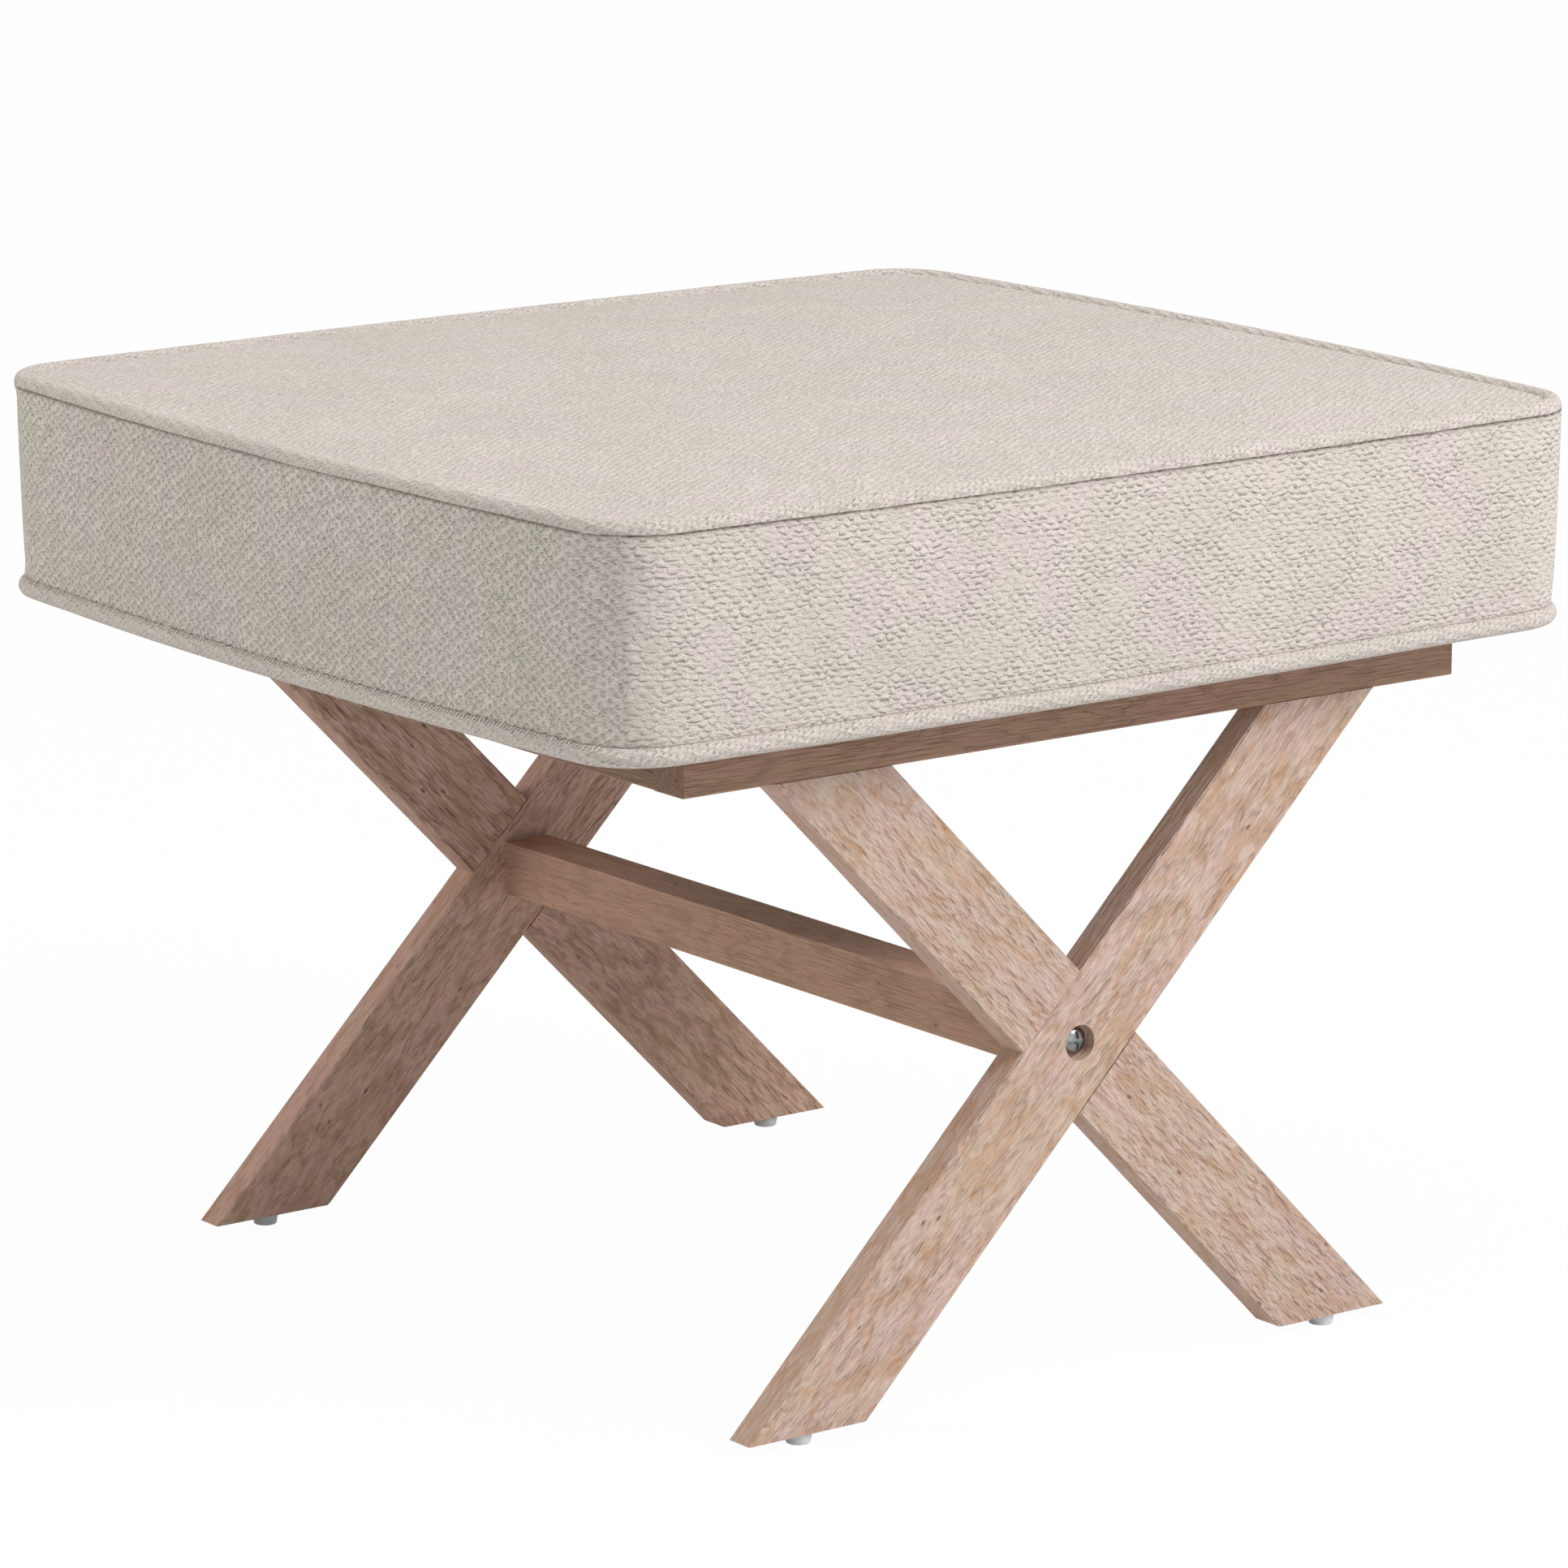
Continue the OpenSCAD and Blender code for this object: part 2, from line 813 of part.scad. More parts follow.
module glide_nails() {
    color(zinc_col)
        for (side_x = [-1, 1], side_y = [-1, 1])
            translate([side_x * foot_x, side_y * frame_y, nail_recess_depth - nail_head_t]) {
                cylinder(d = nail_head_d, h = nail_head_t);
                cylinder(d = nail_d, h = nail_len);
            }
}

foam_block();
cover_top();
boxing_front();
boxing_back();
boxing_left();
boxing_right();
piping_top();
piping_bottom();
cover_turn_under();
dust_cover();
staples();
seat_board();
tee_nuts();
seat_bolts();
rail_front();
rail_back();
rail_left();
rail_right();
corner_dowels();
front_leg_outer();
front_leg_inner();
back_leg_outer();
back_leg_inner();
leg_dowels();
stretcher();
stretcher_inserts();
bolt_front();
bolt_back();
glide_front_left();
glide_front_right();
glide_back_left();
glide_back_right();
glide_nails();
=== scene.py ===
# %% [markdown]
# # A footstool on crossed legs
# A boxed cushion with two rows of piping sits on a light rail frame, and under each long
# rail two legs cross in a half lap. The frame's solids come in finished, so most of this
# lesson is about cloth: a skin that is blown up by simulation, covered cords that follow
# one outline, stitches, and a weave, a wood grain and a steel that are drawn by nodes.
# Lengths are in metres, the floor is z = 0, and the front of the stool looks towards -Y.

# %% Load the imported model
import math

import bpy
import numpy as np
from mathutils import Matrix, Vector


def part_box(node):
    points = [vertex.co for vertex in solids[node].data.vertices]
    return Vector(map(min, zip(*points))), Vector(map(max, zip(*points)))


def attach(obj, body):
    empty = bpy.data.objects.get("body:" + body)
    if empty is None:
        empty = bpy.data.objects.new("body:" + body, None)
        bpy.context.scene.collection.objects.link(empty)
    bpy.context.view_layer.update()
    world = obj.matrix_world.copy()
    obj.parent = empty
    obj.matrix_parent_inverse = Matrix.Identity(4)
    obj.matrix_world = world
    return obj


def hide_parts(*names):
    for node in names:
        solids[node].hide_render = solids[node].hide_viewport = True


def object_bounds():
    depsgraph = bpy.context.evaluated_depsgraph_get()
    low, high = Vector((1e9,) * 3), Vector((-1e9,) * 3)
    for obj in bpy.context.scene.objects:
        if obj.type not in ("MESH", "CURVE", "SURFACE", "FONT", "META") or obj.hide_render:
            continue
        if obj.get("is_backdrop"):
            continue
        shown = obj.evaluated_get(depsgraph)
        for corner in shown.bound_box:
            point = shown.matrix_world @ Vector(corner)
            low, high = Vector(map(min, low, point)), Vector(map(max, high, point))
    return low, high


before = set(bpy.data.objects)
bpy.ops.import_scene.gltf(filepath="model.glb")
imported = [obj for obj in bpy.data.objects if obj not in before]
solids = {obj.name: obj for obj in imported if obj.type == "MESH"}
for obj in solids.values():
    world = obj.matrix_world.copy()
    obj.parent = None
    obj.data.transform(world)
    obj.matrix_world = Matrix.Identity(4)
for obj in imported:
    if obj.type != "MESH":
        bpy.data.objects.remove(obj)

MM = 0.001
cad_box = [list(corner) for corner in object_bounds()]
print("solids:", len(solids), "box:", [[round(v, 4) for v in corner] for corner in cad_box])

# %% [markdown]
# ## Writing node trees like sums
# A weave or a wood grain is a formula, and a formula of thirty Math nodes is hard to read
# when each is made and linked by hand. `Wire` wraps a node's output, so that Python's own
# plus, minus, times and power make the Math nodes. `add` makes any node and fills in its
# inputs, which may be numbers, sockets or Wires.

# %% Wires and nodes
def plug(tree, value, place):
    """Links a Wire or a socket to an input, or writes a plain value on it."""
    value = value.socket if isinstance(value, Wire) else value
    if isinstance(value, bpy.types.NodeSocket):
        tree.links.new(value, place)
    else:
        place.default_value = value


def add(tree, kind, values=None, **settings):
    """Adds a node, with its options and its inputs by name or number."""
    node = tree.nodes.new(kind)
    for name, value in settings.items():
        setattr(node, name, value)
    for place, value in (values or {}).items():
        plug(tree, value, node.inputs[place])
    return node


class Wire:
    """A node's output that can be added, multiplied and compared like a number."""

    def __init__(self, tree, socket):
        self.tree, self.socket = tree, socket

    def math(self, operation, *others):
        values = dict(enumerate((self, *others)))
        node = add(self.tree, "ShaderNodeMath", values, operation=operation)
        return Wire(self.tree, node.outputs[0])

    def __add__(self, other):
        return self.math("ADD", other)

    def __sub__(self, other):
        return self.math("SUBTRACT", other)

    def __mul__(self, other):
        return self.math("MULTIPLY", other)

    def __truediv__(self, other):
        return self.math("DIVIDE", other)

    def __pow__(self, other):
        return self.math("POWER", other)

    def ramp(self, low, high, start=0.0, end=1.0):
        """Goes smoothly from start to end while the value goes from low to high."""
        values = dict(enumerate((self, low, high, start, end)))
        node = add(self.tree, "ShaderNodeMapRange", values, interpolation_type="SMOOTHSTEP")
        return Wire(self.tree, node.outputs[0])


print("a Wire can be added, multiplied, raised to a power and ramped")

# %% [markdown]
# ## Vectors, noise and colours
# The same few nodes come back in every pattern: a vector taken apart or scaled, noise, and
# a mix of two colours. A wire that holds a vector goes through Vector Math. The stretch of
# a pattern is written as three factors, one for each axis.

# %% Helpers for vectors, noise and colours
def split(tree, vector):
    node = add(tree, "ShaderNodeSeparateXYZ", {0: vector})
    return [Wire(tree, out) for out in node.outputs]


def join(tree, x=0.0, y=0.0, z=0.0):
    return Wire(tree, add(tree, "ShaderNodeCombineXYZ", {0: x, 1: y, 2: z}).outputs[0])


def vector_math(tree, operation, a, b):
    """Vector Math on two vectors; for SCALE the second one is a number."""
    second = "Scale" if operation == "SCALE" else 1
    node = add(tree, "ShaderNodeVectorMath", {0: a, second: b}, operation=operation)
    return Wire(tree, node.outputs[0])


def noise(tree, vector, scale=1.0, detail=2.0, roughness=0.5, kind="Fac"):
    values = {"Vector": vector, "Scale": scale, "Detail": detail, "Roughness": roughness}
    return Wire(tree, add(tree, "ShaderNodeTexNoise", values).outputs[kind])


def stretched_noise(tree, vector, factors, detail, roughness=0.5):
    """Noise whose grains are long where a factor is small."""
    return noise(tree, vector_math(tree, "MULTIPLY", vector, factors), 1, detail, roughness)


def blend(tree, share, a, b, mode="MIX"):
    """Mixes two colours, which are Wires or tuples of three."""
    a, b = (c if isinstance(c, Wire) else (*c, 1) for c in (a, b))
    node = add(tree, "ShaderNodeMix", data_type="RGBA", blend_type=mode)
    for place, value in ((0, share), (6, a), (7, b)):
        plug(tree, value, node.inputs[place])
    return Wire(tree, node.outputs[2])


def toned(colour, factor):
    return tuple(min(1, c * factor) for c in colour)


print("half tone of white:", toned((1, 1, 1), 0.5))

# %% [markdown]
# ## Groups
# An effect that several materials share, such as the weave, is a node group: a small tree
# with named inputs and outputs that is built once. Its inputs are made first, and its
# outputs when the formula is ready. A group here puts out only masks, colours and heights;
# the shader itself stays in each material.

# %% Helpers for groups and for tidy trees
COLUMN_WIDTH, NODE_HEIGHT = 200, 180


def arrange(tree, name):
    """Lays the nodes out in columns, so that the tree can be read in the editor."""
    depth, rows = {}, {}

    def measure(node):
        if node.name not in depth:
            depth[node.name] = 0
            links = [link for place in node.inputs for link in place.links]
            depth[node.name] = max([measure(link.from_node) + 1 for link in links], default=0)
        return depth[node.name]

    for node in tree.nodes:
        column = measure(node)
        rows[column] = rows.get(column, 0) + 1
        node.location = (column * COLUMN_WIDTH, -rows[column] * NODE_HEIGHT)
    print(f"{name}: {len(tree.nodes)} nodes")


def new_group(name, inputs):
    """An empty shader group; inputs are name: default. Gives the tree and its inputs."""
    tree = bpy.data.node_groups.new(name, "ShaderNodeTree")
    for label, value in inputs.items():
        kind = "NodeSocketVector" if isinstance(value, tuple) else "NodeSocketFloat"
        tree.interface.new_socket(label, in_out="INPUT", socket_type=kind).default_value = value
    entry = tree.nodes.new("NodeGroupInput")
    return tree, {label: Wire(tree, entry.outputs[label]) for label in inputs}


def close_group(tree, **results):
    """Makes one output for each result and links it."""
    for label, wire in results.items():
        kind = "NodeSocketColor" if wire.socket.type == "RGBA" else "NodeSocketFloat"
        tree.interface.new_socket(label, in_out="OUTPUT", socket_type=kind)
    exit_ = tree.nodes.new("NodeGroupOutput")
    for label, wire in results.items():
        plug(tree, wire, exit_.inputs[label])
    arrange(tree, tree.name)
    return tree


def use_group(tree, group, **values):
    node = add(tree, "ShaderNodeGroup", node_tree=group)
    for label, value in values.items():
        plug(tree, value, node.inputs[label.replace("_", " ")])
    return {out.name: Wire(tree, out) for out in node.outputs}


print("group helpers are ready")

# %% [markdown]
# ## Camera
# The view is a long lens from the front left, a little above the seat. A camera can be
# turned with Euler angles, but it is easier to read when it stands at a distance from a
# target and is turned towards it, so that is what `aim` does. Lamps use the same helper.

# %% Camera
def aim(item, azimuth, elevation, distance, target):
    """Looks at the target; azimuth 0 is in front of the stool, and positive to its right."""
    a, e = math.radians(azimuth), math.radians(elevation)
    away = Vector((math.sin(a) * math.cos(e), -math.cos(a) * math.cos(e), math.sin(e)))
    item.location = Vector(target) + away * distance
    item.rotation_euler = (Vector(target) - item.location).to_track_quat("-Z", "Y").to_euler()
    bpy.context.collection.objects.link(item)


scene = bpy.context.scene
camera = bpy.data.objects.new("camera", bpy.data.cameras.new("camera"))
camera.data.lens, camera.data.sensor_width = 167.16, 36
camera.data.clip_start, camera.data.clip_end = 0.1, 50
aim(camera, azimuth=-36.681, elevation=12.646, distance=3.2107, target=(0.00197, 0, 0.22324))
scene.camera = camera
scene.view_settings.view_transform = "Standard"
print("camera at", [round(v, 3) for v in camera.location])

# %% [markdown]
# ## Studio light
# The stool stands in a white studio. A large softbox at the front right is the key light,
# one overhead fills the top, one behind the left side grazes it, so that its far end is a
# little lighter than the corner, and a weak low one reaches the legs under the seat. The
# lamps add up to about 1, so that a colour renders as it is written.

# %% Lamps
LAMP_TARGET = (0, 0, 0.25)
LAMPS = {  # azimuth, elevation, distance, size, watts, colour
    "key_softbox": (28, 40, 3.4, 1.4, 88, (1, 1, 1)),
    "top_softbox": (-20, 80, 3.0, 2.0, 23, (1, 1, 1)),
    "left_softbox": (-122, 28, 2.6, 1.2, 23, (1, 0.99, 0.92)),
    "low_softbox": (-6, 5, 3.2, 2.0, 8, (1, 1, 1)),
}
for name, (azimuth, elevation, distance, size, watts, colour) in LAMPS.items():
    lamp = bpy.data.lights.new(name, "AREA")
    lamp.shape, lamp.size, lamp.energy, lamp.color = "DISK", size, watts, colour
    aim(bpy.data.objects.new(name, lamp), azimuth, elevation, distance, LAMP_TARGET)
    print(f"{name}: {watts} W at {distance} m")

# %% [markdown]
# ## White background
# The background should be white in the picture, but the room light should stay plain. The
# Light Path node tells the two apart: a ray from the camera, or one that a mirror or glass
# sends on, sees full white, and every other ray sees the softer room light. The floor does
# the same, but keeps a small share of its matt paper, so that the stool's shadow shows.

# %% Background and floor
ROOM_LIGHT, ROOM_TINT = 0.40, (0.98, 0.99, 1, 1)
PAPER_GREY, WHITE_SHARE, FLOOR_RADIUS = 0.82, 0.97, 14


def seen_directly(tree):
    """1 for rays that come from the camera, a reflection or glass, else 0."""
    rays = add(tree, "ShaderNodeLightPath").outputs
    camera_ray, glass_ray, mirror_ray = (
        Wire(tree, rays[f"Is {kind} Ray"]) for kind in ("Camera", "Transmission", "Glossy")
    )
    return camera_ray.math("MAXIMUM", glass_ray).math("MAXIMUM", mirror_ray)


def mix_shaders(tree, share, first, second, exit_kind):
    values = {0: share, 1: first.outputs[0], 2: second.outputs[0]}
    mixed = add(tree, "ShaderNodeMixShader", values).outputs[0]
    add(tree, exit_kind, {0: mixed})


world = bpy.data.worlds.new("studio")
scene.world, world.use_nodes = world, True
sky = world.node_tree
sky.nodes.clear()
room = add(sky, "ShaderNodeBackground", {"Color": ROOM_TINT, "Strength": ROOM_LIGHT})
white = add(sky, "ShaderNodeBackground", {"Color": (1, 1, 1, 1)})
mix_shaders(sky, seen_directly(sky), room, white, "ShaderNodeOutputWorld")

bpy.ops.mesh.primitive_circle_add(vertices=64, radius=FLOOR_RADIUS, fill_type="NGON")
floor = bpy.context.object
floor.name = "floor"
paper = bpy.data.materials.new("floor_paper")
paper.use_nodes = True
tree = paper.node_tree
tree.nodes.clear()
matt = add(tree, "ShaderNodeBsdfDiffuse", {"Color": (PAPER_GREY, PAPER_GREY, PAPER_GREY, 1)})
glow = add(tree, "ShaderNodeEmission", {"Strength": 1})
mix_shaders(tree, seen_directly(tree) * WHITE_SHARE, matt, glow, "ShaderNodeOutputMaterial")
floor.data.materials.append(paper)
floor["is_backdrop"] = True
print("floor and background are ready")

# %% [markdown]
# ## The weave
# The cover is a chunky plain weave. Seen close, it is rows of short raised floats, laid
# like bricks: each float sits over the gap between two floats of the row below, and each
# bulges a little into the rows beside it. An image would tile and blur, so the group works
# it out with waves. Cosines along and across the rows say where a float swells and how the
# groove between two rows bends round it; under each float the groove is a short gap. The
# Shade output is painted shade and light: hollows and the gaps under the floats are painted
# darker and crests lighter, as light from above would show them, over the yarns' own streaks.
# Noise bends all of it, as hand-spun yarn does, calms the relief in some patches, and adds
# slubs and loose fibres.
#
# On the side panels and on the top the same cloth lies turned, and the yarns show as a
# crosshatch of two slanting waves. The input called Slants brings that in, so one group
# serves all panels. Sizes inside the group are in millimetres.

# %% Group: woven rows
TURN = 2 * math.pi


def woven_rows_group():
    tree, at = new_group("woven_rows", {
        "Vector": (0.0, 0.0, 0.0), "Row height": 2.56, "Float length": 6.0, "Wander": 1.0,
        "Rows": 0.9, "Gap": 1.0, "Slants": 0.0, "Tinting": 0.5,
    })
    place = vector_math(tree, "MULTIPLY", at["Vector"], (1000, 1000, 1000))
    x, y, _ = split(tree, place)

    # slow and quick bends of the yarns
    slow_x, slow_y, _ = split(tree, noise(tree, place, 0.09, 1, kind="Color"))
    quick_x, quick_y, _ = split(tree, noise(tree, place, 0.3, 1, kind="Color"))
    x = x + ((slow_x - 0.5) * 8 + (quick_x - 0.5) * 6) * at["Wander"]
    y = y + ((slow_y - 0.5) * 3.2 + (quick_y - 0.5) * 2.4) * at["Wander"]
    along, across = x / at["Float length"], y / at["Row height"]

    # rows of floats, with a gap under each
    rows = across * math.pi
    floats = (along * TURN).math("COSINE")
    bend = floats * rows.math("SINE")
    crest = ((rows * 2 - bend).math("COSINE") * 0.5 + 0.5) ** 0.75
    swell = floats * rows.math("COSINE") * 0.25 + 0.75
    calm = noise(tree, place, 0.07, 1).ramp(0.3, 0.7, 0.5, 1.15)
    yarn = crest * swell * calm
    under = (bend * -0.5 + 0.5) ** 2
    gap = (crest * -1 + 1) ** 3 * under * calm * at["Gap"]

    # the crosshatch
    rising = ((along - across * 0.5) * TURN).math("COSINE")
    falling = ((along + across * 0.5) * TURN).math("COSINE")
    hatch = (rising.math("MAXIMUM", falling * 0.6) * 0.5 + 0.5) ** 1.6
    slants = hatch * calm * at["Slants"]

    # thick spots, loose fibres and fuzz
    slub = stretched_noise(tree, place, (0.2, 0.4, 1), 1) - 0.5
    fibre = stretched_noise(tree, place, (0.4, 1.3, 1), 2) - 0.5
    fuzz = noise(tree, place, 1.2, 2) - 0.5
    loose = slub * 1.1 + fibre * 1.2 + fuzz * 0.8
    height = yarn * at["Rows"] + slants + loose - gap * 0.35
    # painted shade and light: gaps and hollows darker, crests and slants lighter, over the fibres'
    # own streaks
    tilt = (slants - at["Slants"] * 0.4) * 0.8
    shade = (yarn * 0.25 + tilt + fibre - gap).ramp(-0.9, 0.35)

    # wide patches, a little lighter or darker and a little warmer or cooler
    soft = noise(tree, place, 0.017, 2).ramp(0.3, 0.7)
    tint = noise(tree, join(tree, y, x), 0.021, 1).ramp(0.35, 0.65)
    warm = blend(tree, tint, (0.966, 1.0, 0.95), (1.018, 0.982, 1.014))
    warm = blend(tree, at["Tinting"], (1.0, 1.0, 1.0), warm)
    mottle = blend(tree, soft, (0.975, 0.975, 0.975), (1.022, 1.022, 1.022))
    mottle = blend(tree, 1.0, mottle, warm, "MULTIPLY")
    return close_group(tree, Height=height, Shade=shade, Mottle=mottle)


woven_rows = woven_rows_group()

# %% [markdown]
# ## Starting and finishing a material
# Every material here has one Principled shader. Values that are the same all over a piece
# are set on its own sockets, and only what changes over the surface comes from nodes: the
# base colour, the relief through a Bump node, and sometimes the roughness. A Mapping node
# places or turns the pattern on its piece.

# %% Helpers for materials
def principled(name, **constants):
    """A material with a Principled shader whose constants are set on its own sockets."""
    material = bpy.data.materials.new(name)
    material.use_nodes = True
    inputs = material.node_tree.nodes["Principled BSDF"].inputs
    for label, value in constants.items():
        inputs[label.replace("_", " ")].default_value = value
    return material, material.node_tree


def pattern_place(tree, source, shift=(0, 0, 0), turn=(0, 0, 0)):
    """Texture coordinates from the UV map or the object, moved and turned."""
    coords = add(tree, "ShaderNodeTexCoord").outputs[source]
    values = {"Vector": coords, "Location": shift, "Rotation": turn}
    return Wire(tree, add(tree, "ShaderNodeMapping", values).outputs[0])


def finish_material(material, colour, height, depth, roughness=None):
    """Links colour, relief (with its depth in millimetres) and roughness to the shader."""
    tree = material.node_tree
    inputs = tree.nodes["Principled BSDF"].inputs
    bump = add(tree, "ShaderNodeBump", {"Height": height, "Distance": depth * MM})
    plug(tree, colour, inputs["Base Color"])
    plug(tree, bump.outputs[0], inputs["Normal"])
    if roughness:
        plug(tree, roughness, inputs["Roughness"])
    arrange(tree, material.name)


print("material helpers are ready")

# %% [markdown]
# ## The cloth's materials
# All fabric on the stool comes from one roll, so one function makes its materials. The
# yarn's hollows are painted darker than its crests, as painted shade, the Bump node turns
# the height into relief, and a little sheen stands for the loose fibres. The front and back
# show the rows, the sides and the top show the crosshatch, and close to a seam the cloth is
# painted darker, as painted shade. The side panels and the top get a lighter crest and the
# piping a darker one: painted light and shade for the light that each part gets. The
# piping is the same cloth cut on the bias, so its rows run slantwise round the cord, and
# the part that is turned under the seat is flatter and cleaner.

# %% Material: cover fabric
# the hollow colour is painted shade in the weave's hollows and gaps
CREST, HOLLOW_SHADE, CLEAN_CREST = (0.66, 0.596, 0.546), (0.33, 0.283, 0.248), (0.7, 0.64, 0.58)
# colours of the painted shade at the seams, strong and soft
SEAM_SHADE_TONE, SOFT_SEAM_SHADE_TONE = (0.28, 0.25, 0.23), (0.42, 0.39, 0.36)


def cloth_material(name, crest, depth, turn=0.0, seam_shade=None, **weave_settings):
    material, tree = principled(
        name, Roughness=0.92, Specular_IOR_Level=0.18, Sheen_Weight=0.12, Sheen_Roughness=0.5
    )
    at = pattern_place(tree, "UV", turn=(0, 0, turn))
    weave = use_group(tree, woven_rows, Vector=at, **weave_settings)
    colour = blend(tree, weave["Shade"], HOLLOW_SHADE, crest)
    colour = blend(tree, 1.0, colour, weave["Mottle"], "MULTIPLY")
    # painted shade: the cloth is darker close to a seam
    if seam_shade:
        seam_shade_mask = add(tree, "ShaderNodeAttribute", attribute_name="seam").outputs["Fac"]
        colour = blend(tree, seam_shade_mask, colour, seam_shade, "MULTIPLY")
    finish_material(material, colour, weave["Height"], depth)
    return material


# the factors on CREST are painted light on the sides and the top and painted shade on the piping
cover_cloth = cloth_material("cover_cloth", CREST, 0.78, seam_shade=SEAM_SHADE_TONE)
side_cloth = cloth_material(
    "side_cloth", toned(CREST, 1.14), 1.3, seam_shade=SOFT_SEAM_SHADE_TONE, Row_height=2.1,
    Float_length=6.2, Wander=0.8, Rows=0.1, Gap=0.35, Slants=1.25, Tinting=0.8,
)
top_cloth = cloth_material(
    "top_cloth", toned(CREST, 1.05), 1.0, seam_shade=SEAM_SHADE_TONE, Row_height=2.1,
    Float_length=6.2, Wander=0.9, Rows=0.15, Gap=0.3, Slants=1.0, Tinting=0.6,
)
piping_cloth = cloth_material(
    "piping_cloth", toned(CREST, 0.97), 0.8, turn=0.5, Row_height=2.1,
    Float_length=4.8, Wander=0.6, Gap=0.55, Rows=0.6, Slants=0.6,
)
turned_cloth = cloth_material("turned_cloth", CLEAN_CREST, 0.6)

# %% [markdown]
# ## One outline for every layer
# Every layer of the seat follows the same outline: a rounded rectangle whose sides swell
# outwards a little, grown or shrunk by an offset. The cover has a seam at each of the four
# corners, so the outline is worked out as four sides, each from the middle of one corner
# to the middle of the next. `share` runs from 0 to 1 along a side, and the same share on
# two offsets gives points that face each other, which keeps meshes tidy.

# %% The cushion's outline
HALF = np.array([252.0, 234.0]) * MM
CORNER_R, BOW = 25 * MM, np.array([10.0, 6.0]) * MM
LEAST_R, ARC = 0.2 * CORNER_R, CORNER_R * math.pi / 4


def side_length(k):
    return 2 * (HALF[k % 2] - CORNER_R) + 2 * ARC


def side_points(k, off, share):
    """Points of side k (front, right, back, left) at an offset from the piping's middle."""
    half = HALF + off
    along, out = (half[0], half[1]) if k % 2 == 0 else (half[1], half[0])
    r = max(CORNER_R + off, LEAST_R)
    bend = ARC / side_length(k)
    first, last = np.clip(share / bend, 0, 1), np.clip((share - 1 + bend) / bend, 0, 1)
    middle = np.clip((share - bend) / (1 - 2 * bend), 0, 1)
    angle = np.radians(45) * (last + first - 1)
    s = (2 * middle - 1) * (along - r) + r * np.sin(angle)
    n = out - r + r * np.cos(angle)
    x, y = ((s, -n), (n, s), (-s, n), (-n, -s))[k]
    bowed_x = x * (1 + BOW[0] / half[0] * (1 - (y / half[1]) ** 2))
    bowed_y = y * (1 + BOW[1] / half[1] * (1 - (x / half[0]) ** 2))
    return np.stack([bowed_x, bowed_y], 1)


print("girth along the piping:", round(sum(side_length(k) for k in range(4)), 3), "m")

# %% [markdown]
# ## Columns of the skin
# The cushion's wall is a grid: columns run up it and rings run round it. The columns stand
# close together near the corner seams, where the cloth bends, and then keep to one step.
# With the same columns on every ring, walls, nets and cords fit each other.

# %% Columns and rings
NEAR_SEAM, COLUMN_STEP = np.array([0, 1.6, 4.4, 8.8, 13.8, 19.6]) * MM, 4.9 * MM


def side_shares(k):
    """Shares along a side that start fine at the seams and then keep to one step."""
    length, edge = side_length(k), NEAR_SEAM[-1]
    count = round((length - 2 * edge) / COLUMN_STEP) + 1
    inner = np.linspace(edge, length - edge, count)
    return np.concatenate([NEAR_SEAM[:-1], inner, length - NEAR_SEAM[-2::-1]]) / length


SHARES = [side_shares(k) for k in range(4)]
COLUMNS = [len(s) - 1 for s in SHARES]
STARTS = np.cumsum([0] + COLUMNS)
RING, CORNERS = int(STARTS[4]), STARTS[:4]


def ring(off, z):
    """One closed ring round the cushion, at an offset and a height."""
    plan = np.concatenate([side_points(k, off, SHARES[k][:-1]) for k in range(4)])
    return np.column_stack([plan, np.full(RING, z)])


print("columns round the cushion:", RING)

# %% [markdown]
# ## A net for the top
# The cover is cut flat: a top panel, and a side wall of four panels that meet at the
# corners. Each could be a mesh of its own, but then the seams would gape when the cloth
# swells, so it is one closed skin. The top of it has to join four curved sides. A fan of
# triangles would pinch in the middle; a net that is stretched between the four sides (a
# Coons patch) gives square cells instead, which suit cloth.

# %% Net between four sides
def net(off, height):
    """Grid of points between the four sides; height(x, y) gives z. Rows run front to back."""
    front, right, back, left = (side_points(k, off, SHARES[k]) for k in range(4))
    back, left = back[::-1], left[::-1]
    u, v = SHARES[0][:, None, None], SHARES[1][None, :, None]
    flat = (1 - v) * front[:, None] + v * back[:, None] + (1 - u) * left[None] + u * right[None]
    flat -= (1 - u) * (1 - v) * front[0] + u * (1 - v) * front[-1]
    flat -= (1 - u) * v * back[0] + u * v * back[-1]
    return np.concatenate([flat, height(flat[..., :1], flat[..., 1:])], 2)


def crown(off, edge, rise):
    """Height of a panel that is held at its edge and rises towards its middle."""
    hx, hy = HALF + off

    def dome(at, half):
        return np.clip(1 - (at / half) ** 2, 0, 1)

    return lambda x, y: edge + rise * dome(x, hx) * dome(y, hy)


def net_border(index):
    """The numbers along a net's border, in the order of a ring."""
    return np.concatenate([index[:-1, 0], index[-1, :-1], index[:0:-1, -1], index[0, :0:-1]])


print("net:", COLUMNS[0], "by", COLUMNS[1], "cells")

# %% [markdown]
# ## Where the skin runs
# These are the cushion's own sizes, measured in the photo: the height of each seam and
# how far the skin stands out from the piping's centre line there. The skin is a stack of
# rings, from the seat board, out under the wall, up the wall and in under the upper
# piping. Rings stand closer together near the seams, where the cloth bends most. The
# skin starts a little slack, because the simulation is going to fill it.

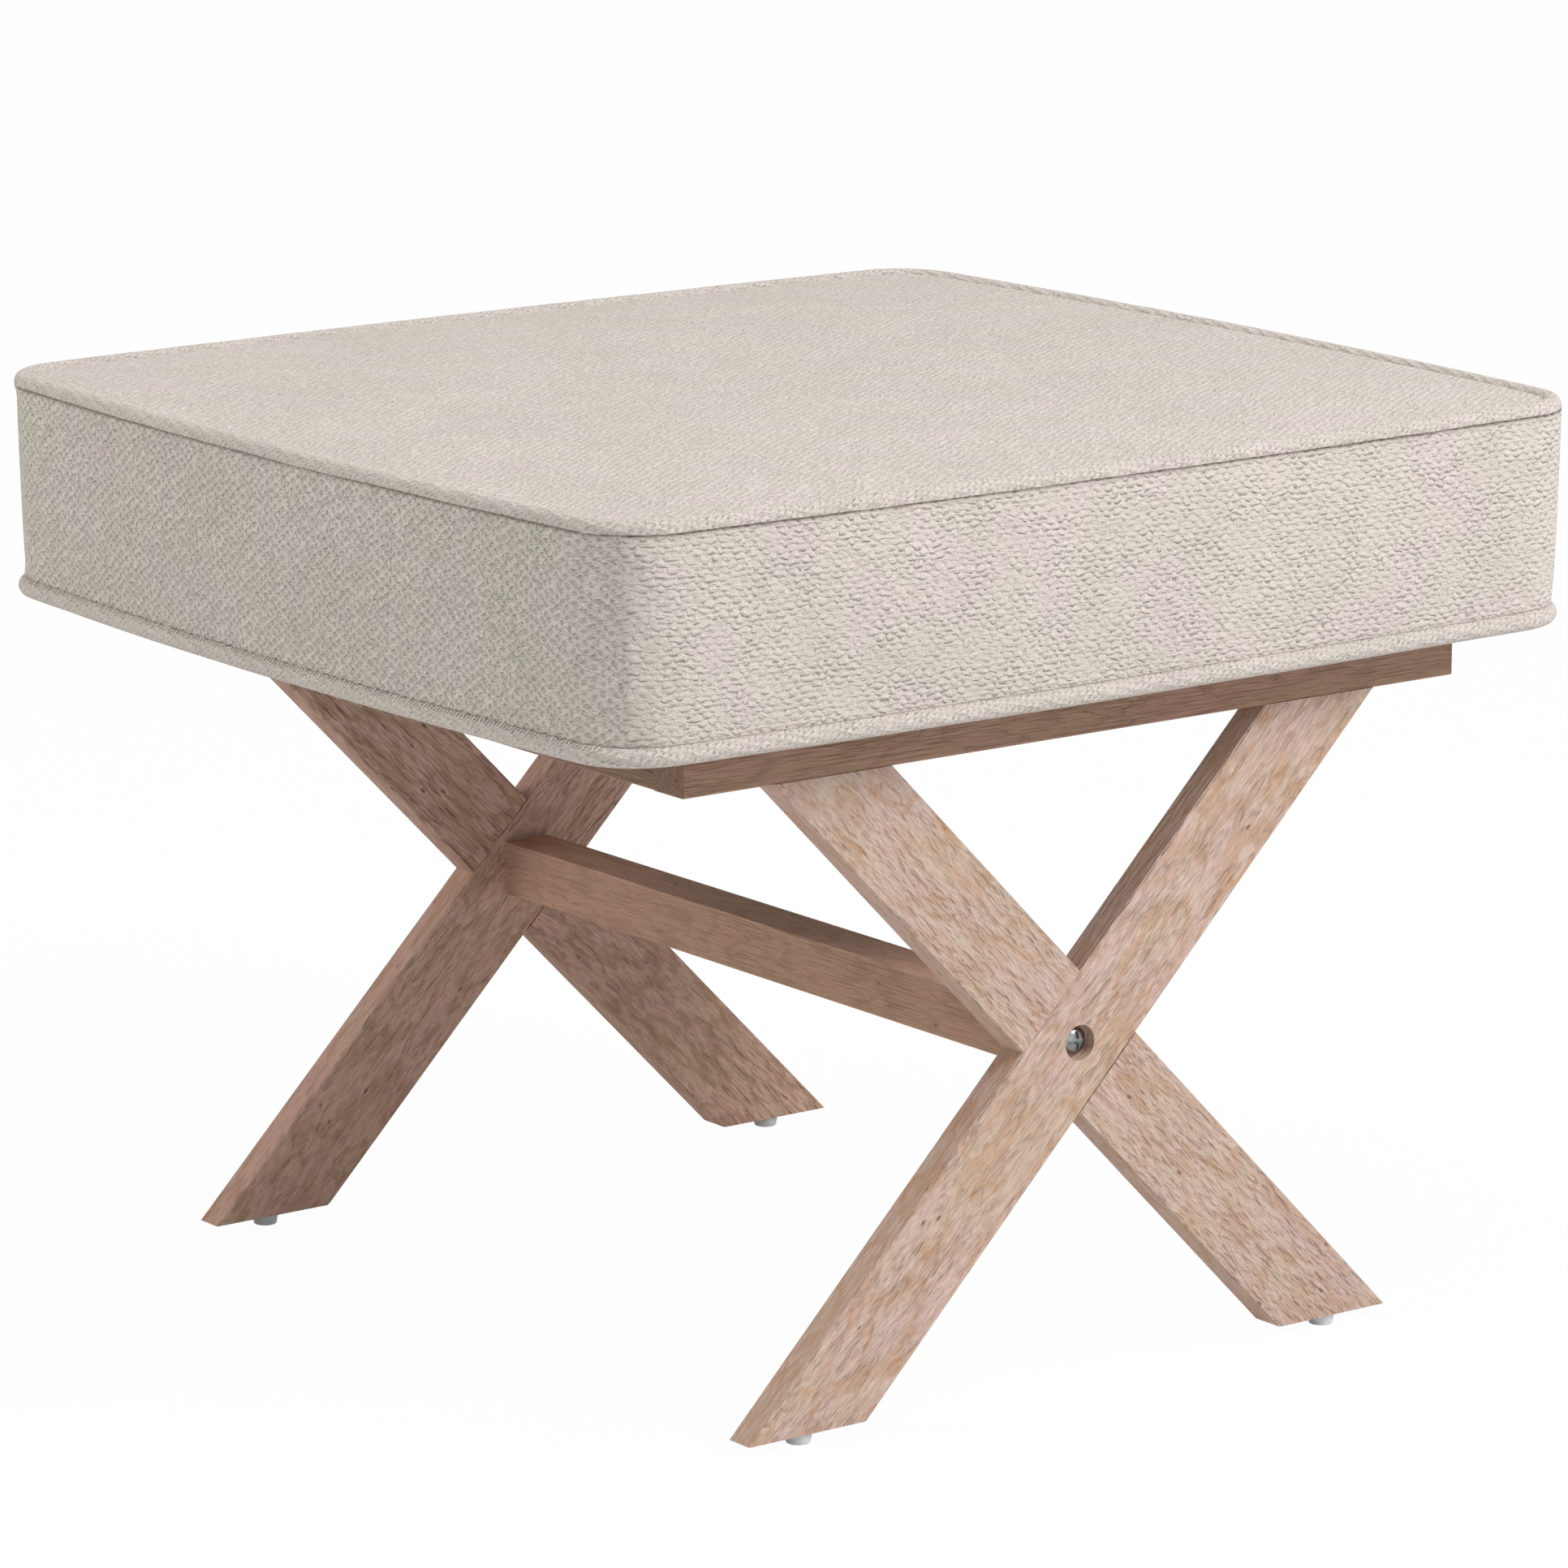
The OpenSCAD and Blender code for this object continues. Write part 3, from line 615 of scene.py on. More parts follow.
# %% Heights and offsets of the skin
BOARD_TOP, PANEL_EDGE = 317.3 * MM, 401.1 * MM
WALL_LOW, WALL_TOP, HEAD_Z = 311.5 * MM, 398.1 * MM, 398.9 * MM
WALL_FOOT, WALL_HEAD, WALL_BULGE, CROWN = 1.5 * MM, 4.15 * MM, 2.9 * MM, 5.2 * MM
BOARD_OFF, FOOT_OFF, HEAD_OFF, PANEL_OFF = -4.4 * MM, -1.5 * MM, -0.5 * MM, -4.0 * MM
BOARD_GAP, FOOT_DROP, SLACK = 0.4 * MM, 0.2 * MM, 0.45
WALL_ROWS = np.array(
    [0, 0.02, 0.05, 0.095, *np.linspace(0.15, 0.85, 13), 0.905, 0.95, 0.98, 0.993, 1]
)


def wall_ring(t, bulge):
    """The wall draws in at both seams and is fullest above its middle; t goes up it."""
    full = 1 - np.abs(2 * t**0.85 - 1) ** 2.6
    off = WALL_FOOT + (WALL_HEAD - WALL_FOOT) * t**2 + bulge * full
    return ring(off, WALL_LOW + t * (WALL_TOP - WALL_LOW))


rings = [ring(BOARD_OFF, BOARD_TOP + BOARD_GAP), ring(BOARD_OFF, WALL_LOW)]
rings += [ring(FOOT_OFF, WALL_LOW - FOOT_DROP)]
WALL_FIRST = len(rings)
rings += [wall_ring(t, WALL_BULGE * SLACK) for t in WALL_ROWS]
WALL_LAST = len(rings) - 1
rings += [ring(HEAD_OFF, HEAD_Z)]
print("rings:", len(rings), "wall rows:", len(WALL_ROWS))

# %% [markdown]
# ## Faces from rings and nets
# Neighbouring rings make a wall of four-sided faces, and so do the cells of a net. Point
# numbers are worked out for all faces at once with arrays, which is shorter and faster
# than loops. The same three helpers serve the cushion and the sheets under the seat.

# %% Helpers for meshes of rings and nets
def ring_faces(rows):
    """Faces between each ring and the next one up, row by row."""
    a = np.arange(RING) + RING * np.arange(rows)[:, None]
    b = np.roll(a, -1, 1)
    return np.stack([a, b, b + RING, a + RING], -1).reshape(-1, 4)


def net_faces(index, upwards):
    """Faces of a net, which look up or down."""
    corners = [index[:-1, :-1], index[1:, :-1], index[1:, 1:], index[:-1, 1:]]
    faces = np.stack(corners, -1).reshape(-1, 4)
    return faces if upwards else faces[:, ::-1]


def mesh_piece(name, points, faces, uvs):
    """A smooth mesh object with a UV map in metres, one row for each face corner."""
    mesh = bpy.data.meshes.new(name)
    mesh.from_pydata(points.tolist(), [], faces.tolist())
    mesh.uv_layers.new(name="pattern").data.foreach_set("uv", np.ravel(uvs))
    mesh.polygons.foreach_set("use_smooth", [True] * len(mesh.polygons))
    made = bpy.data.objects.new(name, mesh)
    bpy.context.collection.objects.link(made)
    return made


print("faces in one row of the wall:", len(ring_faces(1)))

# %% [markdown]
# ## Closing the skin
# Rings become walls of four-sided faces, and a net closes each end. The lower net uses the
# points of the first ring along its border; the upper one has its own border, and a narrow
# strip joins it to the last ring, so that nothing gapes. The UV map holds the flat pattern
# in metres: along the wall it is the length round the cushion, on the top it is the plan.
# So the weave runs straight along each panel and turns at a seam, as cut cloth does.

# %% Build the skin as one closed mesh
PANEL_SHIFT, PLAN_SHIFT = 1.7, 3
top_net = net(PANEL_OFF, crown(PANEL_OFF, PANEL_EDGE, CROWN * SLACK))
low_net = net(BOARD_OFF, lambda x, y: np.full_like(x, BOARD_TOP + BOARD_GAP))

low_index = np.full(low_net.shape[:2], -1)
border = net_border(np.arange(low_index.size).reshape(low_index.shape))
low_index.ravel()[border] = np.arange(RING)
own = low_index < 0
low_index[own] = len(rings) * RING + np.arange(own.sum())
top_index = low_index.max() + 1 + np.arange(low_index.size).reshape(low_index.shape)
top_edge = net_border(top_index)
points = np.concatenate([*rings, low_net[own], top_net.reshape(-1, 3)])

wall = ring_faces(len(rings) - 1)
last, after = wall[-RING:, 3], wall[-RING:, 2]
strip = np.stack([last, after, np.roll(top_edge, -1), top_edge], 1)
flat_faces = np.concatenate([strip, net_faces(low_index, False), net_faces(top_index, True)])

# the wall's pattern: length round the cushion, and height up the rings
rise = np.cumsum([0] + [np.linalg.norm(b[5] - a[5]) for a, b in zip(rings, rings[1:])])
along = np.concatenate([
    (np.stack([SHARES[k][:-1], SHARES[k][1:]], 1) + PANEL_SHIFT * k) * side_length(k)
    for k in range(4)
])
u, v = np.broadcast_arrays(
    along[None][..., [0, 1, 1, 0]], np.stack([rise[:-1], rise[1:]], 1)[:, None][..., [0, 0, 1, 1]]
)
wall_uvs = np.stack([u, v], -1).reshape(-1, 2)

# the nets' pattern: the plan, moved off the wall's
plan_uvs = points[flat_faces.ravel(), :2] + [0, PLAN_SHIFT]
uvs = np.concatenate([wall_uvs, plan_uvs])
cushion = mesh_piece("cushion", points, np.concatenate([wall, flat_faces]), uvs)
print("skin:", len(cushion.data.vertices), "points", len(cushion.data.polygons), "faces")

# %% [markdown]
# ## What holds the skin
# The real cushion is foam that presses against its cover from inside. Blender's Cloth
# with pressure does the same: points at the seams are held in place by a pin group, and
# the rest swells. A small random push first breaks the perfect evenness. Its seed is
# fixed, so that each run gives the same cushion.

# %% Hold the seams and push the rest a little
def read_points(mesh):
    flat = np.empty(len(mesh.vertices) * 3)
    mesh.vertices.foreach_get("co", flat)
    return flat.reshape(-1, 3)


def write_points(mesh, points):
    mesh.vertices.foreach_set("co", np.ravel(points))
    mesh.update()


def on_rings(values):
    """The part of an array of point values that belongs to the rings, one row for each."""
    return values[: len(rings) * RING].reshape(len(rings), RING, *values.shape[1:])


PUSH, PUSH_SEED = 0.12 * MM, 7
start = read_points(cushion.data)
held = np.zeros(len(start), bool)
on_rings(held)[: WALL_FIRST + 1] = True
on_rings(held)[WALL_LAST - 1 :] = True
on_rings(held)[:, CORNERS] = True
held[low_index.ravel()] = held[top_edge] = True

free = ~held
rng = np.random.default_rng(PUSH_SEED)
pushed = start.copy()
pushed[free] += rng.normal(0, PUSH, (free.sum(), 3))
write_points(cushion.data, pushed)
print("held points:", held.sum(), "free points:", free.sum())

# %% [markdown]
# ## Filling the cushion
# The simulation runs for twenty frames with the seams pinned. Gravity is off, because foam
# carries the cloth. What each point has moved is kept, and the modifier is removed, so the
# finished piece is a plain mesh.

# %% Swell the skin with cloth pressure
FRAMES = 20
CLOTH = {
    "vertex_group_mass": "seams", "quality": 6, "mass": 0.3,
    "tension_stiffness": 25, "compression_stiffness": 25, "shear_stiffness": 12,
    "bending_stiffness": 2.0, "tension_damping": 20, "compression_damping": 20,
    "use_pressure": True, "uniform_pressure_force": 4.0,
}
pins = cushion.vertex_groups.new(name="seams")
pins.add(np.flatnonzero(held).tolist(), 1.0, "REPLACE")
cloth = cushion.modifiers.new("cloth", "CLOTH")
for label, value in CLOTH.items():
    setattr(cloth.settings, label, value)
cloth.settings.effector_weights.gravity = 0
cloth.collision_settings.use_collision = False
scene.frame_start, scene.frame_end = 1, FRAMES
for number in range(1, FRAMES + 1):
    scene.frame_set(number)
filled = cushion.evaluated_get(bpy.context.evaluated_depsgraph_get())
swelling = read_points(filled.data) - start
cushion.modifiers.remove(cloth)
scene.frame_set(1)
reach = np.linalg.norm(swelling, axis=1) * 1000
print("swelling: most", round(reach.max(), 2), "mm, usual", round(np.median(reach[free]), 2), "mm")

# %% [markdown]
# ## Keeping to the measured size
# A simulation gives a natural shape but not an exact size, and the cushion has to fit its
# frame. Sculpting it back by hand wouldn't repeat, so the moves of the top and of the wall
# are each scaled by one factor, until the largest is the swelling that was measured.

# %% Cap the swelling
WALL_SPARE, NEAR_MOST = 0.5 * MM, 99.5
top_free = np.setdiff1d(top_index.ravel(), top_edge)
wall_free = np.arange(WALL_FIRST * RING, (WALL_LAST + 1) * RING)


def capped(move, which, cap):
    """Scales the moves of some points so that all but the last few keep to the cap."""
    largest = np.percentile(np.linalg.norm(move[which], axis=1), NEAR_MOST)
    move[which] *= cap / max(largest, 1e-6)
    return round(largest * 1000, 2)


moves = swelling.copy()
top_most = capped(moves, top_free, CROWN * (1 - SLACK))
wall_most = capped(moves, wall_free, WALL_BULGE * (1 - SLACK) + WALL_SPARE)
shape = start + moves
print("before the cap: top", top_most, "mm, wall", wall_most, "mm")

# %% [markdown]
# ## Seams on the skin
# At each corner of the wall two panels meet in a seam. The front and back panels run round
# the corner, while the side panels are pulled flat up to the seam, so the wall has a clear
# edge there. This is pressed into the mesh after the swelling, because cloth simulation
# smooths such small things away. Each point of the wall moves against the direction that
# looks outwards there.

# %% Press the corners in
SIDE_PANELS, FADE, CORNER_PRESS = (1, 3), 0.07, 0.06 * MM
wall_xy = on_rings(shape)[WALL_FIRST : WALL_LAST + 1, :, :2]
step = np.roll(wall_xy, -1, 1) - np.roll(wall_xy, 1, 1)
outwards = np.stack([step[..., 1], -step[..., 0]], -1)
outwards /= np.linalg.norm(outwards, axis=-1, keepdims=True)


def flat_end(k):
    """How far the rounding at both ends of a panel lies outside its chord, by column."""
    run = np.minimum(SHARES[k][:-1], 1 - SHARES[k][:-1]) * side_length(k)
    angle = np.clip(run / CORNER_R, 0, math.pi / 4) - math.pi / 8
    return np.maximum(CORNER_R * (1 - math.cos(math.pi / 8) / np.cos(angle)), 0)


pull = np.zeros(RING)
for k in SIDE_PANELS:
    pull[STARTS[k] : STARTS[k + 1]] = flat_end(k)
fade = np.clip(np.minimum(WALL_ROWS, 1 - WALL_ROWS) / FADE, 0, 1)
wall_xy -= outwards * (pull * fade[:, None])[..., None]
wall_xy[:, CORNERS] -= outwards[:, CORNERS] * CORNER_PRESS
write_points(cushion.data, shape)
print("side panels are pulled in by up to", round(pull.max() * 1000, 2), "mm")

# %% [markdown]
# ## Painted seam shade and panels
# An attribute marks the places close to a seam, and the material is painted a little
# darker there: painted shade under the upper piping, along the top panel's edge and at the
# corner seams. Each face then gets the cloth that its panel shows: rows on the front and
# back, the crosshatch on the sides, and the top's own cloth.

# %% Paint shade at the seams and give each panel its cloth
CORNER_SEAM_SHADE, PANEL_EDGE_SHADE = 0.06, 0.15
RING_SEAM_SHADES = {WALL_LAST - 2: 0.1, WALL_LAST - 1: 1.0, WALL_LAST: 1.0, WALL_LAST + 1: 1.0}
ROWS_CLOTH, SIDE_CLOTH, TOP_CLOTH = range(3)

# painted shade: darker at the corner seams, under the upper piping and along the top panel's edge
seam = np.zeros(len(shape))
on_rings(seam)[WALL_FIRST : WALL_LAST + 1, CORNERS] = CORNER_SEAM_SHADE
for row, mark in RING_SEAM_SHADES.items():
    on_rings(seam)[row] = np.maximum(on_rings(seam)[row], mark)
seam[top_edge] = PANEL_EDGE_SHADE
cushion.data.attributes.new("seam", "FLOAT", "POINT").data.foreach_set("value", seam)

for material in (cover_cloth, side_cloth, top_cloth):
    cushion.data.materials.append(material)
panel = np.full(len(cushion.data.polygons), ROWS_CLOTH)
cloth_round = np.repeat([ROWS_CLOTH, SIDE_CLOTH, ROWS_CLOTH, SIDE_CLOTH], COLUMNS)
panel[WALL_FIRST * RING : WALL_LAST * RING] = np.tile(cloth_round, WALL_LAST - WALL_FIRST)
panel[-COLUMNS[0] * COLUMNS[1] :] = TOP_CLOTH
cushion.data.polygons.foreach_set("material_index", panel)
print("faces by cloth:", np.bincount(panel).tolist())

# %% [markdown]
# ## Rounding the skin
# Subdivision Surface rounds the whole skin. A crease on the upright edges of the four
# corners keeps them crisp; without it the seams would melt into the wall. The cushion is
# then hung on the stool's root, and the solids of the foam and its cover are hidden, because
# it stands for them.

CORNER_CREASE = 0.85
ends = np.empty(2 * len(cushion.data.edges), np.int32)
cushion.data.edges.foreach_get("vertices", ends)
low_end, high_end = np.sort(ends.reshape(-1, 2), 1).T
upright = (low_end >= wall_free[0]) & (high_end <= wall_free[-1])
upright &= (low_end % RING == high_end % RING) & np.isin(low_end % RING, CORNERS)
crease = cushion.data.attributes.new("crease_edge", "FLOAT", "EDGE")
crease.data.foreach_set("value", upright * CORNER_CREASE)
finer = cushion.modifiers.new("finer", "SUBSURF")
finer.levels = finer.render_levels = 1

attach(cushion, "root")
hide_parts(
    "foam_block", "cover_top", "boxing_front", "boxing_back", "boxing_left", "boxing_right"
)
size = np.ptp(shape[wall_free, :2], axis=0)
print("cushion over its wall:", np.round(size, 4), "top at", round(shape[:, 2].max(), 4))

# %% [markdown]
# ## Geometry trees
# What repeats or follows a path is made by Geometry Nodes. Both trees below start from a
# path and have named inputs for their sizes. They end the same way: smooth shading, real
# geometry instead of instances, and a material. The helpers for shader nodes work here
# too, because the two kinds of tree share their Math nodes.

# %% Helpers for geometry trees
SOCKETS = {int: "NodeSocketInt", float: "NodeSocketFloat", str: "NodeSocketMaterial"}


def new_geometry_tree(name, inputs):
    """A tree with a Geometry input and the named ones; a text stands for a material."""
    tree = bpy.data.node_groups.new(name, "GeometryNodeTree")
    make = tree.interface.new_socket
    make("Geometry", in_out="INPUT", socket_type="NodeSocketGeometry")
    for label, value in inputs.items():
        socket = make(label, in_out="INPUT", socket_type=SOCKETS[type(value)])
        if not isinstance(value, str):
            socket.default_value = value
    make("Geometry", in_out="OUTPUT", socket_type="NodeSocketGeometry")
    entry = tree.nodes.new("NodeGroupInput")
    return tree, {out.name: Wire(tree, out) for out in entry.outputs if out.name}


def close_geometry_tree(tree, geometry, material):
    smooth = add(tree, "GeometryNodeSetShadeSmooth", {0: geometry}).outputs[0]
    whole = add(tree, "GeometryNodeRealizeInstances", {0: smooth}).outputs[0]
    done = add(tree, "GeometryNodeSetMaterial", {0: whole, "Material": material}).outputs[0]
    add(tree, "NodeGroupOutput", {0: done})
    arrange(tree, tree.name)
    return tree


print("a path tree can have inputs of", len(SOCKETS), "kinds")

# %% [markdown]
# ## A map that goes round
# The strip of cloth on a piping runs along the cord and round it, so the weave needs a UV
# map of those two lengths. A tree knows them while the curve is still a curve: it captures
# them on the points, and they are still there when the mesh is made. The last face of a
# closed hoop would run from the end of the map back to its start; so each corner is
# compared with the middle of its face, and gets one lap more where it lies far behind.

# %% Helpers for a cord's map
FAR_BEHIND = 0.3  # of a lap


def captured(tree, geometry, value):
    """Stores a value on the geometry's points; gives the geometry and the value further on."""
    node = add(tree, "GeometryNodeCaptureAttribute", {0: geometry}, domain="POINT")
    node.capture_items.new("FLOAT", "Value")
    plug(tree, value, node.inputs[1])
    return node.outputs[0], Wire(tree, node.outputs[1])


def lap_safe(tree, value, lap):
    """A value on face corners, with one lap added where a face crosses the start."""
    mean = add(tree, "GeometryNodeFieldOnDomain", {0: value}, data_type="FLOAT", domain="FACE")
    behind = (Wire(tree, mean.outputs[0]) - value) / lap
    return value + behind.math("GREATER_THAN", FAR_BEHIND) * lap


print("a corner counts as lapped at", FAR_BEHIND, "of a lap")

# %% [markdown]
# ## Piping by Geometry Nodes
# Piping is a cord in a strip of cloth, sewn in all round the edge. It follows a path, so
# a node tree makes it: the outline becomes a curve, noise lets it wander and thicken a
# little, as a hand-sewn cord does, and Curve to Mesh sweeps a circle along it. Each corner
# of each face also gets its place along and round the cord, as a UV map, so that the weave
# turns with the cord.

# %% Tree: covered cord
WANDER_WAVES, THICKNESS_WAVES = 28.0, 60.0


def wandering(tree, path, at):
    """Moves a curve's points a little and makes its radius uneven, both by noise."""
    where = add(tree, "GeometryNodeInputPosition").outputs[0]
    where = vector_math(tree, "ADD", where, join(tree, at["Seed"], at["Seed"]))
    push = noise(tree, where, WANDER_WAVES, 1.0, kind="Color")
    push = vector_math(tree, "SUBTRACT", push, (0.5, 0.5, 0.5))
    push = vector_math(tree, "SCALE", push, at["Wander"] * 2)
    path = add(tree, "GeometryNodeSetPosition", {0: path, "Offset": push}).outputs[0]
    radius = (noise(tree, where, THICKNESS_WAVES, 1) - 0.5) * 2 * at["Unevenness"] + 1
    return add(tree, "GeometryNodeSetCurveRadius", {0: path, "Radius": radius}).outputs[0]


def covered_cord_tree():
    tree, at = new_geometry_tree("covered_cord", {
        "Cord radius": 0.004, "Facets": 16, "Points": 400, "Wander": 0.0003,
        "Unevenness": 0.03, "Seed": 3.0, "Material": "material",
    })
    path = add(tree, "GeometryNodeMeshToCurve", {0: at["Geometry"]}).outputs[0]
    values = {"Curve": path, "Count": at["Points"]}
    path = wandering(tree, add(tree, "GeometryNodeResampleCurve", values).outputs[0], at)

    spline = add(tree, "GeometryNodeSplineParameter").outputs
    path, run = captured(tree, path, Wire(tree, spline["Length"]))
    girth = add(tree, "GeometryNodeSplineLength").outputs[0]
    path, girth = captured(tree, path, girth)
    values = {"Resolution": at["Facets"], "Radius": at["Cord radius"]}
    circle = add(tree, "GeometryNodeCurvePrimitiveCircle", values).outputs[0]
    circle, turn = captured(tree, circle, Wire(tree, spline["Factor"]))
    cord = add(tree, "GeometryNodeCurveToMesh", {0: path, 1: circle}).outputs[0]

    around = lap_safe(tree, turn, 1.0) * (at["Cord radius"] * TURN)
    along = lap_safe(tree, run, girth)
    values = {0: cord, "Name": "pattern"}
    settings = {"data_type": "FLOAT2", "domain": "CORNER"}
    stored = add(tree, "GeometryNodeStoreNamedAttribute", values, **settings)
    plug(tree, join(tree, along, around), stored.inputs["Value"])
    return close_geometry_tree(tree, stored.outputs[0], at["Material"])


covered_cord = covered_cord_tree()

# %% [markdown]
# ## From a node tree to a plain mesh
# A Geometry Nodes modifier is set up on a simple path and then turned into a mesh of its
# own. Inputs are set by their identifiers, which stay the same if a label changes. The
# finished mesh is checked: its volume must be positive, which means that its faces look
# outwards.

# %% Helper: run a tree and keep its mesh
def face_outwards(mesh):
    """Turns the faces round if the volume inside them is negative; gives the volume."""
    points = read_points(mesh)
    mesh.calc_loop_triangles()
    a, b, c = points[np.array([t.vertices[:] for t in mesh.loop_triangles])].transpose(1, 0, 2)
    volume = float((a * np.cross(b, c)).sum() / 6)
    if volume < 0:
        mesh.flip_normals()
    return abs(volume)


def path_mesh(points, closed=False):
    mesh = bpy.data.meshes.new("path")
    links = [(i, i + 1) for i in range(len(points) - 1)]
    mesh.from_pydata(points.tolist(), links + [(len(points) - 1, 0)] * closed, [])
    return mesh


def grown(name, path, tree, **values):
    """Runs a geometry tree on a path and returns its result as a plain mesh object."""
    carrier = bpy.data.objects.new(name + "_path", path)
    bpy.context.collection.objects.link(carrier)
    modifier = carrier.modifiers.new("nodes", "NODES")
    modifier.node_group = tree
    for item in tree.interface.items_tree:
        label = item.name.replace(" ", "_")
        if item.in_out == "INPUT" and label in values:
            modifier[item.identifier] = values[label]
    bpy.context.view_layer.update()
    finished = carrier.evaluated_get(bpy.context.evaluated_depsgraph_get())
    mesh = bpy.data.meshes.new_from_object(finished)
    bpy.data.objects.remove(carrier)
    volume = face_outwards(mesh)
    mesh.name = name
    made = bpy.data.objects.new(name, mesh)
    bpy.context.collection.objects.link(made)
    print(f"{name}: {len(mesh.polygons)} faces, {volume * 1e6:.1f} cm3")
    return made


print("the cushion's skin holds", round(face_outwards(cushion.data) * 1000, 1), "litres")

# %% [markdown]
# ## The two cords
# The same tree runs twice, once for the cord round the top edge and once for the one
# under the wall. Only the height and the seed differ, so the two aren't exact copies. A
# torus would be quicker, but it can't follow a swelling outline with tight corners.

# %% Both rows of piping
PIPING_R = 4.25 * MM
CORDS = {  # the solid that it stands for, height and seed
    "piping_upper": ("piping_top", 398.75 * MM, 3.0),
    "piping_lower": ("piping_bottom", 307.75 * MM, 8.0),
}
for name, (solid, z, seed) in CORDS.items():
    hoop = grown(
        name, path_mesh(ring(0, z), closed=True), covered_cord, Cord_radius=PIPING_R,
        Facets=20, Points=640, Wander=0.22 * MM, Unevenness=0.025, Seed=seed,
        Material=piping_cloth,
    )
    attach(hoop, "root")
    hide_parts(solid)
    print(name, "maps:", [layer.name for layer in hoop.data.uv_layers])

# %% [markdown]
# ## Stitches
# Above the lower piping, the wall is closed by hand with small slanting stitches. There
# are hundreds, so a node tree sets one small bead of thread on each point of a path. An
# attribute on the path says which way a stitch leans, and a seed makes each one a little
# longer or shorter. Each stitch has few faces, because it is seen small.

# %% Tree: row of stitches
BEAD_POINTS, BEAD_SIDES, THIN_END = 5, 6, 0.1
SHORTEST, LONGEST = 0.65, 1.1


def stitch(tree, at):
    """One bead of thread along Z, thick in the middle and thin at both ends."""
    half = at["Stitch length"] / 2
    values = {"Start": join(tree, z=half * -1), "End": join(tree, z=half)}
    line = add(tree, "GeometryNodeCurvePrimitiveLine", values).outputs[0]
    values = {"Curve": line, "Count": BEAD_POINTS}
    line = add(tree, "GeometryNodeResampleCurve", values).outputs[0]
    t = Wire(tree, add(tree, "GeometryNodeSplineParameter").outputs["Factor"])
    belly = (t * math.pi).math("SINE") * (1 - THIN_END) + THIN_END
    line = add(tree, "GeometryNodeSetCurveRadius", {0: line, "Radius": belly}).outputs[0]
    values = {"Resolution": BEAD_SIDES, "Radius": at["Thread radius"]}
    circle = add(tree, "GeometryNodeCurvePrimitiveCircle", values).outputs[0]
    return add(tree, "GeometryNodeCurveToMesh", {0: line, 1: circle, "Fill Caps": True}).outputs[0]


def stitch_row_tree():
    tree, at = new_geometry_tree("stitch_row", {
        "Spacing": 0.0013, "Stitch length": 0.0026, "Thread radius": 0.00025,
        "Unevenness": 0.2, "Seed": 1, "Material": "material",
    })
    path = add(tree, "GeometryNodeMeshToCurve", {0: at["Geometry"]}).outputs[0]
    path = add(tree, "GeometryNodeResampleCurve", {"Curve": path}, mode="LENGTH")
    plug(tree, at["Spacing"], path.inputs["Length"])

    lean = add(tree, "GeometryNodeInputNamedAttribute", {"Name": "lean"}, data_type="FLOAT_VECTOR")
    values = {"Min": (-1.0, -1.0, -1.0), "Max": (1.0, 1.0, 1.0), "Seed": at["Seed"]}
    stray = add(tree, "FunctionNodeRandomValue", values, data_type="FLOAT_VECTOR").outputs[0]
    stray = vector_math(tree, "SCALE", stray, at["Unevenness"])
    way = vector_math(tree, "ADD", lean.outputs[0], stray)
    turned = add(tree, "FunctionNodeAlignRotationToVector", {"Vector": way}, axis="Z").outputs[0]

    size = add(tree, "FunctionNodeRandomValue", data_type="FLOAT")
    places = {place.identifier: place for place in size.inputs}
    for label, value in (("Min_001", SHORTEST), ("Max_001", LONGEST), ("Seed", at["Seed"] + 1)):
        plug(tree, value, places[label])
    sewn = add(tree, "GeometryNodeInstanceOnPoints", {
        "Points": path.outputs[0], "Instance": stitch(tree, at), "Rotation": turned,
        "Scale": next(out for out in size.outputs if out.enabled),
    })
    return close_geometry_tree(tree, sewn.outputs[0], at["Material"])


stitch_row = stitch_row_tree()

# %% [markdown]
# ## Sewing thread
# The thread is waxed cotton in the colour of the cover, a little smoother than the cloth.
# Fine noise stands for its twist; modelling each strand would cost many faces for
# something two pixels wide.

# %% Material: thread
DARK_THREAD, PALE_THREAD = (0.60, 0.555, 0.505), (0.76, 0.71, 0.65)
sewing_thread, tree = principled("sewing_thread", Roughness=0.6, Specular_IOR_Level=0.35)
twist = noise(tree, pattern_place(tree, "Object"), 900, 1)
colour = blend(tree, twist.ramp(0.3, 0.7), DARK_THREAD, PALE_THREAD)
finish_material(sewing_thread, colour, twist, 0.05)

# %% [markdown]
# ## Where the stitches lie
# One row closes the left wall against the lower piping, the other holds the top panel
# along the same side, half sunk in the cloth. Each row is a path along one side of the
# outline. Each point also carries the direction in which its stitch leans: mostly along
# the seam, a little up, and a little into the cloth.

